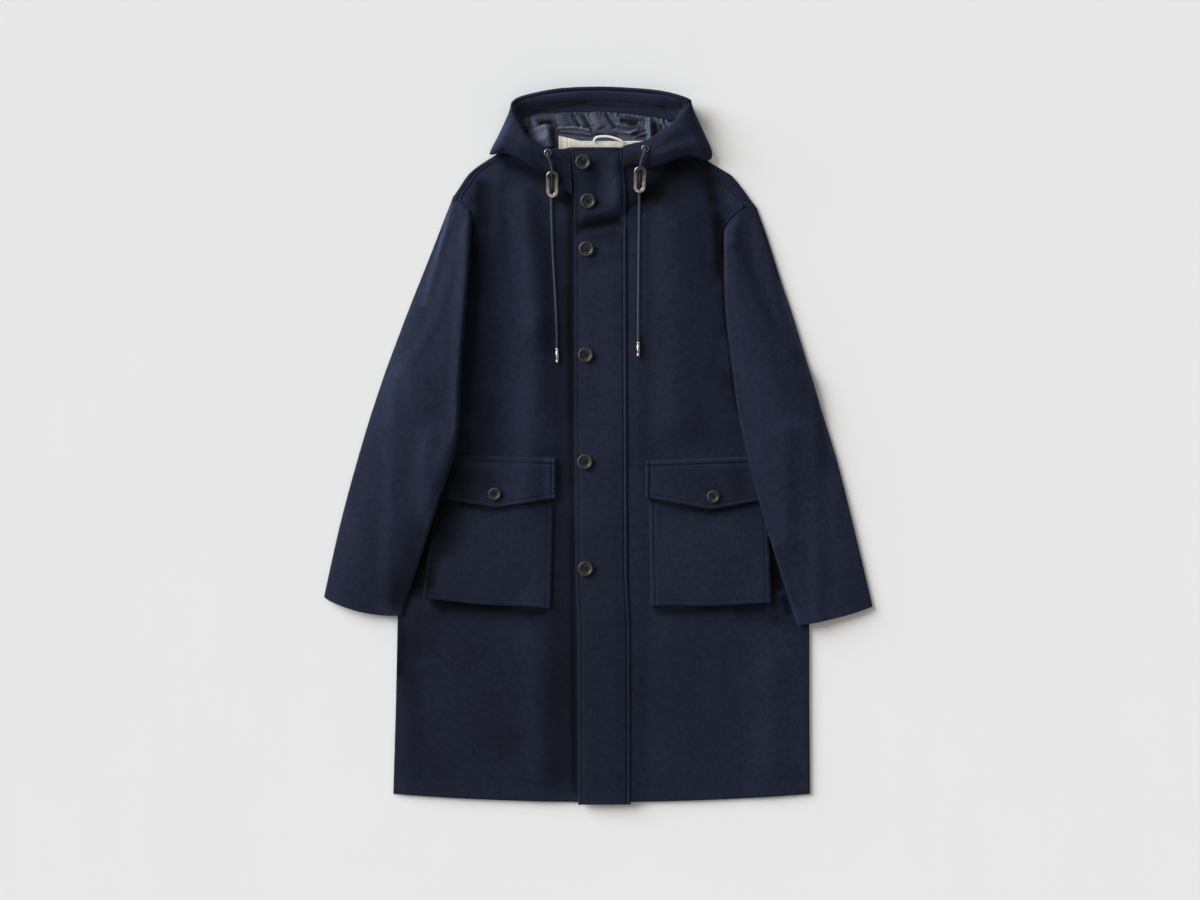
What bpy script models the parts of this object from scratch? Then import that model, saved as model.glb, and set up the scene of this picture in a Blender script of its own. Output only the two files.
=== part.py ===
"""A hooded wool parka, laid flat on its back with its front closed.

Metres, +Z up. The coat lies on the plane z = 0 with its hood towards +Y and its
hem towards -Y. "right" and "left" are the wearer's sides, so right is at -X.
The origin is under the middle of the whole coat.
"""

import math
from collections import namedtuple

import bmesh
import bpy
from mathutils import Vector

COLLECTION = "flat_laid_parka"

# Cloth walls and the air between layers
WOOL = 0.0022
FACING = 0.0018
SATIN = 0.0010
COTTON = 0.0012
SEAM_GAP = 0.0004
LAYER_GAP = 0.0008

# Heights of the layers over the ground
BACK_TOP = 0.0020
EDGE_TOP = BACK_TOP + SEAM_GAP + WOOL
FRONT_TOP = 0.0076
EDGE_ROUND = 0.045
HEM_FLAT = 0.45
HEM_ROUND = 0.050
NECK_RISE = 0.0030
NECK_RISE_FROM_Y, NECK_RISE_TO_Y = 0.395, 0.440
NECK_RISE_HALF_WIDTH, NECK_RISE_FADE = 0.045, 0.050
SLEEVE_HOLLOW = 0.0034
POCKET_RISE = 2 * (WOOL + LAYER_GAP) + 0.0008
SLEEVE_BRIDGE = 0.028

# The closed front: the left front laps over the right one, the placket over both
CENTRE_X = 0.006
UNDERLAP_X = 0.018
OVERLAP_X = -0.034
LAP_START_X = 0.034
LAP_END_X = 0.062
TOP_Y = 0.442
BACK_NECK_Y = 0.4405
HEM_Y = -0.522
HEM_DROP = 0.012
HEM_DROP_REACH = 0.25
HALF_CHEST = 0.311

BUTTON_RADIUS = 0.0115
POCKET_BUTTON_RADIUS = 0.0094
BUTTON_THICKNESS = 0.0034
# A button's half section, as shares of its radius and thickness
BUTTON_PROFILE = (
    (0.0, 0.55), (0.60, 0.55), (0.74, 0.95), (0.86, 1.0),
    (0.97, 0.75), (1.0, 0.45), (0.80, 0.0), (0.0, 0.0),
)  # fmt: skip
BUTTON_STEPS = 18
HOLE_RADIUS_SHARE, HOLE_OFFSET_SHARE = 0.095, 0.27
BUTTON_SEAT = 0.008
CORD_RADIUS = 0.0020
CORD_STEP = 0.009
AGLET_RADIUS = 0.0026
AGLET_LENGTH = 0.022

RIGHT, LEFT = "right", "left"
Point = namedtuple("Point", "x y")

# The outline of the body, from the hem to the side seam's top and up the armhole
BODY_EDGE = {
    RIGHT: (
        Point(-0.308, -0.522),
        Point(-0.304, -0.385),
        Point(-0.301, -0.240),
        Point(-0.296, -0.080),
        Point(-0.294, 0.073),
        Point(-0.275, 0.092),
        Point(-0.237, 0.145),
        Point(-0.210, 0.225),
        Point(-0.1885, 0.300),
    ),
    LEFT: (
        Point(0.318, -0.522),
        Point(0.317, -0.385),
        Point(0.317, -0.268),
        Point(0.315, -0.080),
        Point(0.312, 0.073),
        Point(0.288, 0.092),
        Point(0.246, 0.145),
        Point(0.212, 0.215),
        Point(0.1875, 0.285),
    ),
}
# The armhole seam where it shows: fold of the sleeve, cap, forward seam, shoulder tip
ARMHOLE = {
    RIGHT: (
        Point(-0.1885, 0.346),
        Point(-0.192, 0.357),
        Point(-0.203, 0.366),
        Point(-0.211, 0.371),
        Point(-0.218, 0.375),
    ),
    LEFT: (
        Point(0.1885, 0.325),
        Point(0.196, 0.338),
        Point(0.208, 0.351),
        Point(0.221, 0.360),
        Point(0.238, 0.358),
    ),
}
# The shoulder from its tip to the neck: outer fold and the seam in front of it
ShoulderRow = namedtuple("ShoulderRow", "fold_x fold_y seam_x seam_y")
SHOULDER = {
    RIGHT: (
        ShoulderRow(-0.218, 0.375, -0.211, 0.371),
        ShoulderRow(-0.209, 0.388, -0.206, 0.381),
        ShoulderRow(-0.197, 0.406, -0.194, 0.398),
        ShoulderRow(-0.188, 0.415, -0.186, 0.410),
        ShoulderRow(-0.176, 0.424, -0.172, 0.4195),
        ShoulderRow(-0.162, 0.433, -0.157, 0.4275),
        ShoulderRow(-0.150, 0.441, -0.143, 0.434),
    ),
    LEFT: (
        ShoulderRow(0.238, 0.358, 0.221, 0.360),
        ShoulderRow(0.229, 0.370, 0.209, 0.371),
        ShoulderRow(0.216, 0.388, 0.198, 0.384),
        ShoulderRow(0.201, 0.406, 0.186, 0.397),
        ShoulderRow(0.187, 0.415, 0.170, 0.408),
        ShoulderRow(0.172, 0.424, 0.153, 0.4185),
        ShoulderRow(0.157, 0.434, 0.138, 0.4295),
    ),
}
NECK_SIDE_X = {RIGHT: -0.128, LEFT: 0.120}

# Ridges (height over 0) and troughs (under 0) in the fronts, each along a line
Fold = namedtuple("Fold", "x0 y0 x1 y1 width height")
FOLDS = (
    Fold(-0.140, 0.345, -0.132, 0.020, 0.030, 0.0030),
    Fold(-0.070, 0.350, -0.064, 0.010, 0.020, -0.0022),
    Fold(-0.149, 0.400, -0.152, 0.300, 0.011, 0.0012),
    Fold(-0.190, -0.270, -0.197, -0.505, 0.052, 0.0024),
    Fold(-0.050, -0.270, -0.045, -0.500, 0.014, -0.0018),
    Fold(0.132, 0.330, 0.128, 0.040, 0.030, 0.0024),
    Fold(0.080, 0.360, 0.078, 0.030, 0.018, -0.0012),
    Fold(0.264, -0.330, 0.258, -0.505, 0.022, 0.0026),
    Fold(0.216, -0.330, 0.212, -0.505, 0.018, -0.0018),
    Fold(0.120, -0.280, 0.122, -0.480, 0.040, 0.0016),
    Fold(-0.026, 0.334, 0.034, 0.350, 0.010, -0.0012),
    Fold(0.018, 0.412, 0.018, 0.372, 0.016, 0.0014),
    Fold(-0.026, 0.268, 0.034, 0.274, 0.012, -0.0008),
)
FOLD_FADE = 0.045

# Heights at which the panels of the front have a row of points
ROW_HEIGHTS = (
    -0.522, -0.500, -0.420, -0.340, -0.260, -0.180, -0.100, -0.020,
    0.073, 0.092, 0.145, 0.200, 0.250, 0.275, 0.300,
)  # fmt: skip
FRONT_COLUMNS = (0.07, 0.17, 0.27, 0.37, 0.47, 0.57, 0.67, 0.78, 0.89, 0.96, 1.0)
RIGHT_INNER_COLUMNS = (UNDERLAP_X, CENTRE_X, -0.014, -0.030, -0.042)
BACK_SKIPS_ROWS = (-0.500, -0.340, -0.180, -0.020, 0.200, 0.275)
BACK_SHOULDER_ROWS = (0.375, 0.390, 0.406, 0.424, BACK_NECK_Y)
BACK_COLUMNS = (0.0, 0.25, 0.5, 0.75, 1.0)
BACK_INSET = 0.0015
SHOULDER_COLUMNS = (0.0, 0.35, 1.0)

# The placket, straight at first, strays to the wearer's left on its way down
PLACKET_COLUMNS = (-0.036, -0.014, CENTRE_X, 0.026, 0.0430)
PLACKET_BOTTOM_Y = -0.537
PLACKET_TOP_ROWS = (0.443, 0.448)
PLACKET_LEAN = 0.003
PLACKET_TOP_LEAN = -0.005

SleeveRow = namedtuple("SleeveRow", "outer_x outer_y inner_x inner_y")
SLEEVE = {
    RIGHT: (
        SleeveRow(-0.218, 0.375, -0.1885, 0.346),
        SleeveRow(-0.234, 0.334, -0.1895, 0.318),
        SleeveRow(-0.255, 0.280, -0.1925, 0.272),
        SleeveRow(-0.279, 0.220, -0.1965, 0.213),
        SleeveRow(-0.302, 0.160, -0.2015, 0.154),
        SleeveRow(-0.324, 0.100, -0.2055, 0.095),
        SleeveRow(-0.353, 0.010, -0.2110, 0.004),
        SleeveRow(-0.386, -0.110, -0.2460, -0.107),
        SleeveRow(-0.412, -0.226, -0.2940, -0.252),
    ),
    LEFT: (
        SleeveRow(0.238, 0.358, 0.1885, 0.325),
        SleeveRow(0.255, 0.310, 0.1882, 0.292),
        SleeveRow(0.274, 0.250, 0.1890, 0.240),
        SleeveRow(0.294, 0.190, 0.1920, 0.188),
        SleeveRow(0.317, 0.115, 0.2010, 0.115),
        SleeveRow(0.335, 0.055, 0.2100, 0.050),
        SleeveRow(0.358, -0.020, 0.2270, -0.030),
        SleeveRow(0.381, -0.110, 0.2500, -0.116),
        SleeveRow(0.412, -0.240, 0.2980, -0.268),
    ),
}
CUFF_DIP = {RIGHT: 0.010, LEFT: 0.004}
SLEEVE_STATIONS = 15
SLEEVE_CAP_STATIONS = 1.4
SLEEVE_COLUMNS = (0.0, 0.06, 0.16, 0.29, 0.42, 0.55, 0.68, 0.80, 0.91, 1.0)
# Where a sleeve steps down from the body's edge, and from the pocket that it rests on
STEP_DOWN_FROM, STEP_DOWN_WIDTH = 0.007, 0.026
POCKET_STEP_FROM, POCKET_STEP_WIDTH = 0.010, 0.028
POCKET_REST_LOW, POCKET_REST_LOW_FADE = -0.190, 0.060
POCKET_REST_HIGH, POCKET_REST_HIGH_FADE = 0.045, 0.035

# The hood's side, from the placket up to the crown: rim of the opening and outer edge
HoodRow = namedtuple("HoodRow", "rim_x rim_y rim_z edge_x edge_y edge_z crown")
HOOD = {
    RIGHT: (
        HoodRow(-0.0430, 0.4460, 0.0165, -0.0390, 0.383, 0.0118, 0.0030),
        HoodRow(-0.0550, 0.4435, 0.0185, -0.0550, 0.391, 0.0118, 0.0040),
        HoodRow(-0.0800, 0.4460, 0.0220, -0.0850, 0.410, 0.0118, 0.0050),
        HoodRow(-0.1020, 0.4590, 0.0265, -0.1200, 0.428, 0.0115, 0.0045),
        HoodRow(-0.1100, 0.4670, 0.0280, -0.1430, 0.438, 0.0110, 0.0040),
        HoodRow(-0.1170, 0.4780, 0.0295, -0.1620, 0.434, 0.0095, 0.0040),
        HoodRow(-0.1220, 0.4870, 0.0300, -0.1620, 0.443, 0.0070, 0.0050),
        HoodRow(-0.1260, 0.4950, 0.0300, -0.1490, 0.469, 0.0050, 0.0050),
        HoodRow(-0.1300, 0.5040, 0.0300, -0.1400, 0.488, 0.0050, 0.0030),
        HoodRow(-0.1290, 0.5140, 0.0300, -0.1270, 0.5110, 0.0050, 0.0),
        HoodRow(-0.1140, 0.5230, 0.0300, -0.1110, 0.5195, 0.0050, 0.0),
        HoodRow(-0.0720, 0.5325, 0.0300, -0.0700, 0.5285, 0.0050, 0.0),
        HoodRow(-0.0360, 0.5360, 0.0300, -0.0350, 0.5320, 0.0050, 0.0),
        HoodRow(-0.0003, 0.5370, 0.0300, -0.0003, 0.5330, 0.0050, 0.0),
    ),
    LEFT: (
        HoodRow(0.0440, 0.4500, 0.0175, 0.0450, 0.416, 0.0146, 0.0026),
        HoodRow(0.0550, 0.4530, 0.0188, 0.0580, 0.409, 0.0128, 0.0038),
        HoodRow(0.0720, 0.4570, 0.0215, 0.0730, 0.404, 0.0118, 0.0050),
        HoodRow(0.0990, 0.4730, 0.0265, 0.1040, 0.429, 0.0115, 0.0050),
        HoodRow(0.1140, 0.4820, 0.0290, 0.1400, 0.440, 0.0110, 0.0045),
        HoodRow(0.1220, 0.4900, 0.0300, 0.1690, 0.429, 0.0095, 0.0045),
        HoodRow(0.1270, 0.4970, 0.0300, 0.1710, 0.441, 0.0070, 0.0050),
        HoodRow(0.1320, 0.5040, 0.0300, 0.1600, 0.469, 0.0050, 0.0050),
        HoodRow(0.1370, 0.5110, 0.0300, 0.1500, 0.490, 0.0050, 0.0030),
        HoodRow(0.1370, 0.5180, 0.0300, 0.1350, 0.5150, 0.0050, 0.0),
        HoodRow(0.1120, 0.5270, 0.0300, 0.1100, 0.5230, 0.0050, 0.0),
        HoodRow(0.0820, 0.5325, 0.0300, 0.0800, 0.5285, 0.0050, 0.0),
        HoodRow(0.0340, 0.5360, 0.0300, 0.0340, 0.5320, 0.0050, 0.0),
        HoodRow(0.0003, 0.5370, 0.0300, 0.0003, 0.5330, 0.0050, 0.0),
    ),
}
HOOD_COLUMNS = (0.0, 0.08, 0.24, 0.48, 0.74, 0.93, 1.0)
HOOD_STATIONS = 19

SideRow = namedtuple("SideRow", "y right left")
HOOD_BACK = (
    SideRow(0.4412, -0.158, 0.167),
    SideRow(0.469, -0.146, 0.156),
    SideRow(0.489, -0.137, 0.146),
    SideRow(0.505, -0.129, 0.139),
    SideRow(0.515, -0.119, 0.131),
    SideRow(0.524, -0.094, 0.104),
    SideRow(0.531, -0.040, 0.042),
)

# The wool band inside the opening, from the rim down to the lining
BandRow = namedtuple("BandRow", "rim_x rim_y rim_z in_x in_y in_z")
HOOD_BAND = (
    BandRow(-0.1105, 0.4760, 0.0250, -0.1115, 0.470, 0.0100),
    BandRow(-0.1175, 0.4910, 0.0285, -0.1090, 0.487, 0.0085),
    BandRow(-0.1220, 0.5020, 0.0290, -0.1020, 0.495, 0.0080),
    BandRow(-0.1200, 0.5110, 0.0290, -0.0880, 0.500, 0.0080),
    BandRow(-0.1030, 0.5195, 0.0290, -0.0620, 0.501, 0.0080),
    BandRow(-0.0680, 0.5275, 0.0290, -0.0360, 0.502, 0.0080),
    BandRow(-0.0320, 0.5310, 0.0290, -0.0120, 0.502, 0.0080),
    BandRow(0.0030, 0.5320, 0.0290, 0.0100, 0.502, 0.0080),
    BandRow(0.0400, 0.5305, 0.0290, 0.0360, 0.500, 0.0080),
    BandRow(0.0780, 0.5270, 0.0290, 0.0620, 0.497, 0.0080),
    BandRow(0.1080, 0.5210, 0.0290, 0.0860, 0.493, 0.0080),
    BandRow(0.1270, 0.5120, 0.0290, 0.1010, 0.489, 0.0080),
    BandRow(0.1240, 0.5010, 0.0285, 0.1080, 0.485, 0.0085),
    BandRow(0.1135, 0.4880, 0.0270, 0.1120, 0.480, 0.0100),
)
BAND_COLUMNS = (0.0, 0.26, 0.50, 0.56, 0.78, 1.0)
CHANNEL_STITCH_AT = 0.53
CHANNEL_DIP = 0.0012

HOOD_LINING = (
    SideRow(0.4420, -0.068, 0.066),
    SideRow(0.4530, -0.088, 0.080),
    SideRow(0.4640, -0.100, 0.098),
    SideRow(0.4750, -0.106, 0.107),
    SideRow(0.4860, -0.103, 0.106),
    SideRow(0.4970, -0.096, 0.088),
    SideRow(0.5060, -0.074, 0.066),
)
LINING_TOP = 0.0040
LINING_FOLDS = (
    Fold(-0.088, 0.485, -0.068, 0.470, 0.008, 0.0060),
    Fold(-0.050, 0.488, -0.020, 0.474, 0.007, 0.0030),
    Fold(0.000, 0.492, 0.018, 0.476, 0.007, 0.0034),
    Fold(0.052, 0.484, 0.064, 0.472, 0.007, 0.0032),
    Fold(0.088, 0.478, 0.082, 0.470, 0.006, 0.0030),
)
LINING_FADE = 0.012
NeckRow = namedtuple("NeckRow", "y right left corner_rise")
NECK_BAND = (
    NeckRow(0.4428, -0.0590, 0.0700, 0.0),
    NeckRow(0.4500, -0.0592, 0.0720, 0.004),
    NeckRow(0.4580, -0.0594, 0.0740, 0.008),
)
NECK_BAND_COLUMNS = 9
NECK_BAND_LOW, NECK_BAND_LIFT = 0.0074, 0.0030

# The pockets: corners of the patch, and of the pointed flap over its top
PocketShape = namedtuple(
    "PocketShape",
    "top_y near_top far_top near_bottom far_bottom near_bottom_y far_bottom_y",
)
PATCH = {
    RIGHT: PocketShape(-0.030, -0.066, -0.238, -0.071, -0.263, -0.244, -0.229),
    LEFT: PocketShape(-0.030, 0.075, 0.253, 0.079, 0.260, -0.241, -0.236),
}
FlapShape = namedtuple("FlapShape", "near_x far_x near_top_y far_top_y side_y point_y")
FLAP = {
    RIGHT: FlapShape(-0.063, -0.240, -0.018, -0.011, -0.078, -0.092),
    LEFT: FlapShape(0.071, 0.267, -0.021, -0.014, -0.077, -0.095),
}
FLAP_WELT = 0.009
WELT_RISE = 0.0010
PATCH_PUFF = 0.0016
PATCH_ROWS = (0.0, 0.14, 0.3, 0.45, 0.6, 0.75, 0.9, 1.0)
FLAP_ROWS = (0.3, 0.55, 0.8, 1.0)
POCKET_COLUMNS = (0.0, 0.08, 0.22, 0.36, 0.5, 0.64, 0.78, 0.92, 1.0)
# The right pocket's lower outer corner stands off the coat
PATCH_CORNER_LIFT = {RIGHT: 0.0040, LEFT: 0.0015}

PlacketButton = namedtuple("PlacketButton", "x y")
PLACKET_BUTTONS = (
    PlacketButton(-0.0230, 0.4255),
    PlacketButton(-0.0155, 0.3675),
    PlacketButton(-0.0178, 0.2957),
    PlacketButton(-0.019, 0.137),
    PlacketButton(-0.020, -0.023),
    PlacketButton(-0.019, -0.183),
)
POCKET_BUTTONS = {RIGHT: Point(-0.155, -0.071), LEFT: Point(0.172, -0.075)}

EYELETS = {RIGHT: Point(-0.0755, 0.4385), LEFT: Point(0.0700, 0.4445)}
EYELET_RADIUS = 0.0055
EYELET_HOLE = 0.0030
EYELET_THICKNESS = 0.0016
EYELET_STEPS = 20
EYELET_LIFT = 0.0018
EYELET_TILT = 8.0
# A toggle: a flat metal ring with a slot, which the cord passes through
Toggle = namedtuple("Toggle", "x y z tilt turn")
TOGGLES = {
    RIGHT: Toggle(-0.0690, 0.3920, 0.0194, 15.0, 0.0),
    LEFT: Toggle(0.0620, 0.3990, 0.0194, 15.0, -2.5),
}
TOGGLE_WIDTH, TOGGLE_LENGTH = 0.0180, 0.0405
SLOT_WIDTH, SLOT_LENGTH = 0.0070, 0.0290
TOGGLE_THICKNESS = 0.0030
TOGGLE_EDGE = 0.0006

# The drawcords' free ends, eyelet to tip: plan and height of the cord's middle
CordPoint = namedtuple("CordPoint", "x y z")
CORDS = {
    RIGHT: (
        CordPoint(-0.0755, 0.4392, 0.0264),
        CordPoint(-0.0750, 0.4355, 0.0282),
        CordPoint(-0.0740, 0.4320, 0.0280),
        CordPoint(-0.0715, 0.4260, 0.0256),
        CordPoint(-0.0695, 0.4190, 0.0228),
        CordPoint(-0.0688, 0.4115, 0.0201),
        CordPoint(-0.0690, 0.4050, 0.0185),
        CordPoint(-0.0692, 0.3985, 0.0181),
        CordPoint(-0.0694, 0.3905, 0.0166),
        CordPoint(-0.0696, 0.3840, 0.0142),
        CordPoint(-0.0698, 0.3780, 0.0113),
        CordPoint(-0.0700, 0.3720, 0.0094),
        CordPoint(-0.0701, 0.3640, 0.0086),
        CordPoint(-0.0700, 0.3500, 0.0082),
        CordPoint(-0.0694, 0.3300, 0.0080),
        CordPoint(-0.0682, 0.2950, 0.0080),
        CordPoint(-0.0660, 0.2550, 0.0080),
        CordPoint(-0.0640, 0.2200, 0.0080),
        CordPoint(-0.0625, 0.1850, 0.0080),
        CordPoint(-0.0618, 0.1480, 0.0082),
    ),
    LEFT: (
        CordPoint(0.0700, 0.4452, 0.0266),
        CordPoint(0.0697, 0.4415, 0.0284),
        CordPoint(0.0688, 0.4380, 0.0282),
        CordPoint(0.0665, 0.4320, 0.0258),
        CordPoint(0.0645, 0.4260, 0.0228),
        CordPoint(0.0632, 0.4185, 0.0201),
        CordPoint(0.0626, 0.4120, 0.0186),
        CordPoint(0.0622, 0.4055, 0.0181),
        CordPoint(0.0620, 0.3975, 0.0166),
        CordPoint(0.0618, 0.3910, 0.0142),
        CordPoint(0.0616, 0.3850, 0.0114),
        CordPoint(0.0616, 0.3790, 0.0100),
        CordPoint(0.0616, 0.3700, 0.0098),
        CordPoint(0.0616, 0.3570, 0.0098),
        CordPoint(0.0614, 0.3350, 0.0098),
        CordPoint(0.0610, 0.3000, 0.0098),
        CordPoint(0.0606, 0.2550, 0.0098),
        CordPoint(0.0602, 0.2100, 0.0098),
        CordPoint(0.0600, 0.1570, 0.0100),
    ),
}

# The hanger loop, sewn to the neck band at both ends
LoopPoint = namedtuple("LoopPoint", "x y z")
HANGER_LOOP = (
    LoopPoint(-0.0070, 0.4565, 0.0118),
    LoopPoint(-0.0062, 0.4620, 0.0126),
    LoopPoint(-0.0020, 0.4660, 0.0130),
    LoopPoint(0.0060, 0.4675, 0.0130),
    LoopPoint(0.0160, 0.4665, 0.0130),
    LoopPoint(0.0270, 0.4630, 0.0130),
    LoopPoint(0.0365, 0.4570, 0.0118),
)
LOOP_WIDTH = 0.0046

# Finishes: name, colour, roughness, metallic
Finish = namedtuple("Finish", "name colour roughness metallic")
NAVY_WOOL = Finish("navy_wool", (0.020, 0.025, 0.050), 0.92, 0.0)
NAVY_SATIN = Finish("navy_satin", (0.030, 0.034, 0.052), 0.42, 0.0)
CREAM_COTTON = Finish("cream_cotton", (0.74, 0.70, 0.58), 0.88, 0.0)
BLUE_CORD = Finish("blue_grey_cord", (0.045, 0.075, 0.115), 0.80, 0.0)
DARK_HORN = Finish("dark_horn", (0.045, 0.040, 0.038), 0.38, 0.0)
AGED_METAL = Finish("aged_metal", (0.52, 0.49, 0.47), 0.32, 1.0)


def clear_scene():
    """Remove every object."""
    for item in list(bpy.data.objects):
        bpy.data.objects.remove(item, do_unlink=True)


def ease(t):
    """A smooth step: 0 up to t = 0, 1 from t = 1."""
    t = min(max(t, 0.0), 1.0)
    return t * t * (3.0 - 2.0 * t)


def between(low, high, t):
    """The value a share t of the way from low to high."""
    return low + (high - low) * t


def at_height(points, y):
    """The x of an edge at height y, along straight stretches between its points."""
    if y <= points[0].y:
        return points[0].x
    for start, end in zip(points, points[1:]):
        if y <= end.y:
            return between(start.x, end.x, (y - start.y) / (end.y - start.y))
    return points[-1].x


def smooth_rows(rows, count):
    """Rows read at even steps from a smooth curve through a table's own rows."""
    found = []
    last = len(rows) - 1
    for step in range(count):
        place = last * step / (count - 1)
        index = min(int(place), last - 1)
        t = place - index
        before = rows[max(index - 1, 0)]
        start, end = rows[index], rows[index + 1]
        after = rows[min(index + 2, last)]
        values = []
        for a, b, c, d in zip(before, start, end, after):
            slope_b = (c - a) / 2.0
            slope_c = (d - b) / 2.0
            values.append(
                (2 * t**3 - 3 * t**2 + 1) * b
                + (t**3 - 2 * t**2 + t) * slope_b
                + (3 * t**2 - 2 * t**3) * c
                + (t**3 - t**2) * slope_c
            )
        found.append(type(start)(*values))
    return found


def fold_height(folds, fade, x, y):
    """The sum of the folds at a point: each is soft across and fades out at its ends."""
    total = 0.0
    for fold in folds:
        along_x, along_y = fold.x1 - fold.x0, fold.y1 - fold.y0
        length = math.hypot(along_x, along_y)
        along_x, along_y = along_x / length, along_y / length
        offset_x, offset_y = x - fold.x0, y - fold.y0
        along = offset_x * along_x + offset_y * along_y
        across = offset_x * along_y - offset_y * along_x
        ends = ease((along + fade) / fade) * ease((length + fade - along) / fade)
        total += fold.height * ends * math.exp(-((across / fold.width) ** 2))
    return total


def side_of(x):
    """The side of the coat that x is on."""
    return RIGHT if x < CENTRE_X else LEFT


def front_edge(side):
    """The outer edge of a front panel: side seam, armhole, shoulder seam, neck."""
    seam = [Point(row.seam_x, row.seam_y) for row in SHOULDER[side][1:]]
    neck = Point(NECK_SIDE_X[side], TOP_Y)
    return (*BODY_EDGE[side], *ARMHOLE[side][:4], *seam, neck)


def fall_edge(side):
    """The line on which the body's upper surface comes down to its underside."""
    tip = SHOULDER[side][0]
    turn = Point(between(tip.fold_x, ARMHOLE[side][0].x, -0.2), tip.fold_y - 0.030)
    outline = [Point(row.fold_x, row.fold_y) for row in SHOULDER[side]]
    return (*BODY_EDGE[side], turn, *outline)


def back_edge(side):
    """The outer edge of the back panel: side seam, armhole, shoulder fold."""
    outline = [Point(row.fold_x, row.fold_y) for row in SHOULDER[side][1:]]
    return (*BODY_EDGE[side], *ARMHOLE[side][:3], *outline)


FRONT_EDGE = {side: front_edge(side) for side in (RIGHT, LEFT)}
FALL_EDGE = {side: fall_edge(side) for side in (RIGHT, LEFT)}
BACK_EDGE = {side: back_edge(side) for side in (RIGHT, LEFT)}


def body_top(x, y):
    """Height of the upper surface of a front panel, with its folds."""
    inside = abs(at_height(FALL_EDGE[side_of(x)], y)) - abs(x)
    flat = 1.0 - (1.0 - min(max(inside / EDGE_ROUND, 0.0), 1.0)) ** 2
    hem = between(HEM_FLAT, 1.0, ease((y - HEM_Y) / HEM_ROUND))
    neck = NECK_RISE * ease((y - NECK_RISE_FROM_Y) / (NECK_RISE_TO_Y - NECK_RISE_FROM_Y))
    neck *= 1.0 - ease((abs(x) - NECK_RISE_HALF_WIDTH) / NECK_RISE_FADE)
    folds = fold_height(FOLDS, FOLD_FADE, x, y) * flat * hem
    return EDGE_TOP + (FRONT_TOP - EDGE_TOP) * flat * hem + neck + folds


def left_front_top(x, y):
    """The left front lies over the right one near the middle, then comes down."""
    lap = 1.0 - ease((x - LAP_START_X) / (LAP_END_X - LAP_START_X))
    return body_top(x, y) + (WOOL + LAYER_GAP) * lap


def placket_top(x, y):
    """The placket lies on the left front."""
    return left_front_top(x, y) + LAYER_GAP + WOOL


def placket_lean(y):
    """The front's middle strays to the wearer's left towards the hem."""
    return PLACKET_LEAN * (ease((0.35 - y) / 0.85) + ease(-(y + 0.18) / 0.1))


def hem_drop(x, y):
    """How far the rows near the hem sag below their height, most at the middle."""
    middle = 1.0 - min(abs(x - CENTRE_X) / HALF_CHEST, 1.0) ** 2
    return HEM_DROP * middle * max(0.0, 1.0 - (y - HEM_Y) / HEM_DROP_REACH)


def new_material(name, finish):
    """A Principled material of one finish for one piece."""
    material = bpy.data.materials.new(name + "_" + finish.name)
    material.use_nodes = True
    shader = material.node_tree.nodes["Principled BSDF"]
    shader.inputs["Base Color"].default_value = (*finish.colour, 1.0)
    shader.inputs["Roughness"].default_value = finish.roughness
    shader.inputs["Metallic"].default_value = finish.metallic
    return material


def add_object(name, data, finish, parent):
    """Put a mesh or curve in the coat's collection, dressed and parented."""
    item = bpy.data.objects.new(name, data)
    bpy.data.collections[COLLECTION].objects.link(item)
    item.data.materials.append(new_material(name, finish))
    item.parent = parent
    return item


def cloth_mesh(name, rows):
    """An open grid surface through rows of points, facing up."""
    mesh = bpy.data.meshes.new(name)
    build = bmesh.new()
    grid = [[build.verts.new(point) for point in row] for row in rows]
    for lower, upper in zip(grid, grid[1:]):
        for column in range(len(lower) - 1):
            corners = (lower[column], lower[column + 1], upper[column + 1], upper[column])
            build.faces.new(corners)
    build.normal_update()
    if sum(face.normal.z * face.calc_area() for face in build.faces) < 0.0:
        bmesh.ops.reverse_faces(build, faces=build.faces)
    bmesh.ops.triangulate(build, faces=build.faces)
    build.to_mesh(mesh)
    build.free()
    mesh.shade_smooth()
    return mesh


def cloth_panel(name, rows, wall, finish, parent):
    """A cut piece of cloth: its upper surface with a wall below it."""
    panel = add_object(name, cloth_mesh(name, rows), finish, parent)
    solid = panel.modifiers.new("wall", "SOLIDIFY")
    solid.thickness = wall
    solid.offset = -1.0
    return panel


def row_heights(side):
    """The heights of a front panel's rows, with its seam's own corners among them."""
    seam = [point.y for point in FRONT_EDGE[side] if point.y > ROW_HEIGHTS[-1] + 0.004]
    return (*ROW_HEIGHTS, *seam)


def front_columns(side, outer, y):
    """The x of a front panel's points in one row, out to its edge."""
    if side == LEFT:
        inner = (OVERLAP_X, *PLACKET_COLUMNS[1:])
    else:
        inner = RIGHT_INNER_COLUMNS
    inner = [x + placket_lean(y) for x in inner]
    start = inner[-1]
    return (*inner, *(between(start, outer, share) for share in FRONT_COLUMNS))


def add_front(side, parent):
    """One front panel, from the hem to the neck."""
    top = left_front_top if side == LEFT else body_top
    rows = []
    for y in row_heights(side):
        outer = at_height(FRONT_EDGE[side], y)
        xs = front_columns(side, outer, y)
        rows.append([(x, y - hem_drop(x, y), top(x, y)) for x in xs])
    cloth_panel("front_" + side, rows, WOOL, NAVY_WOOL, parent)


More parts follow.
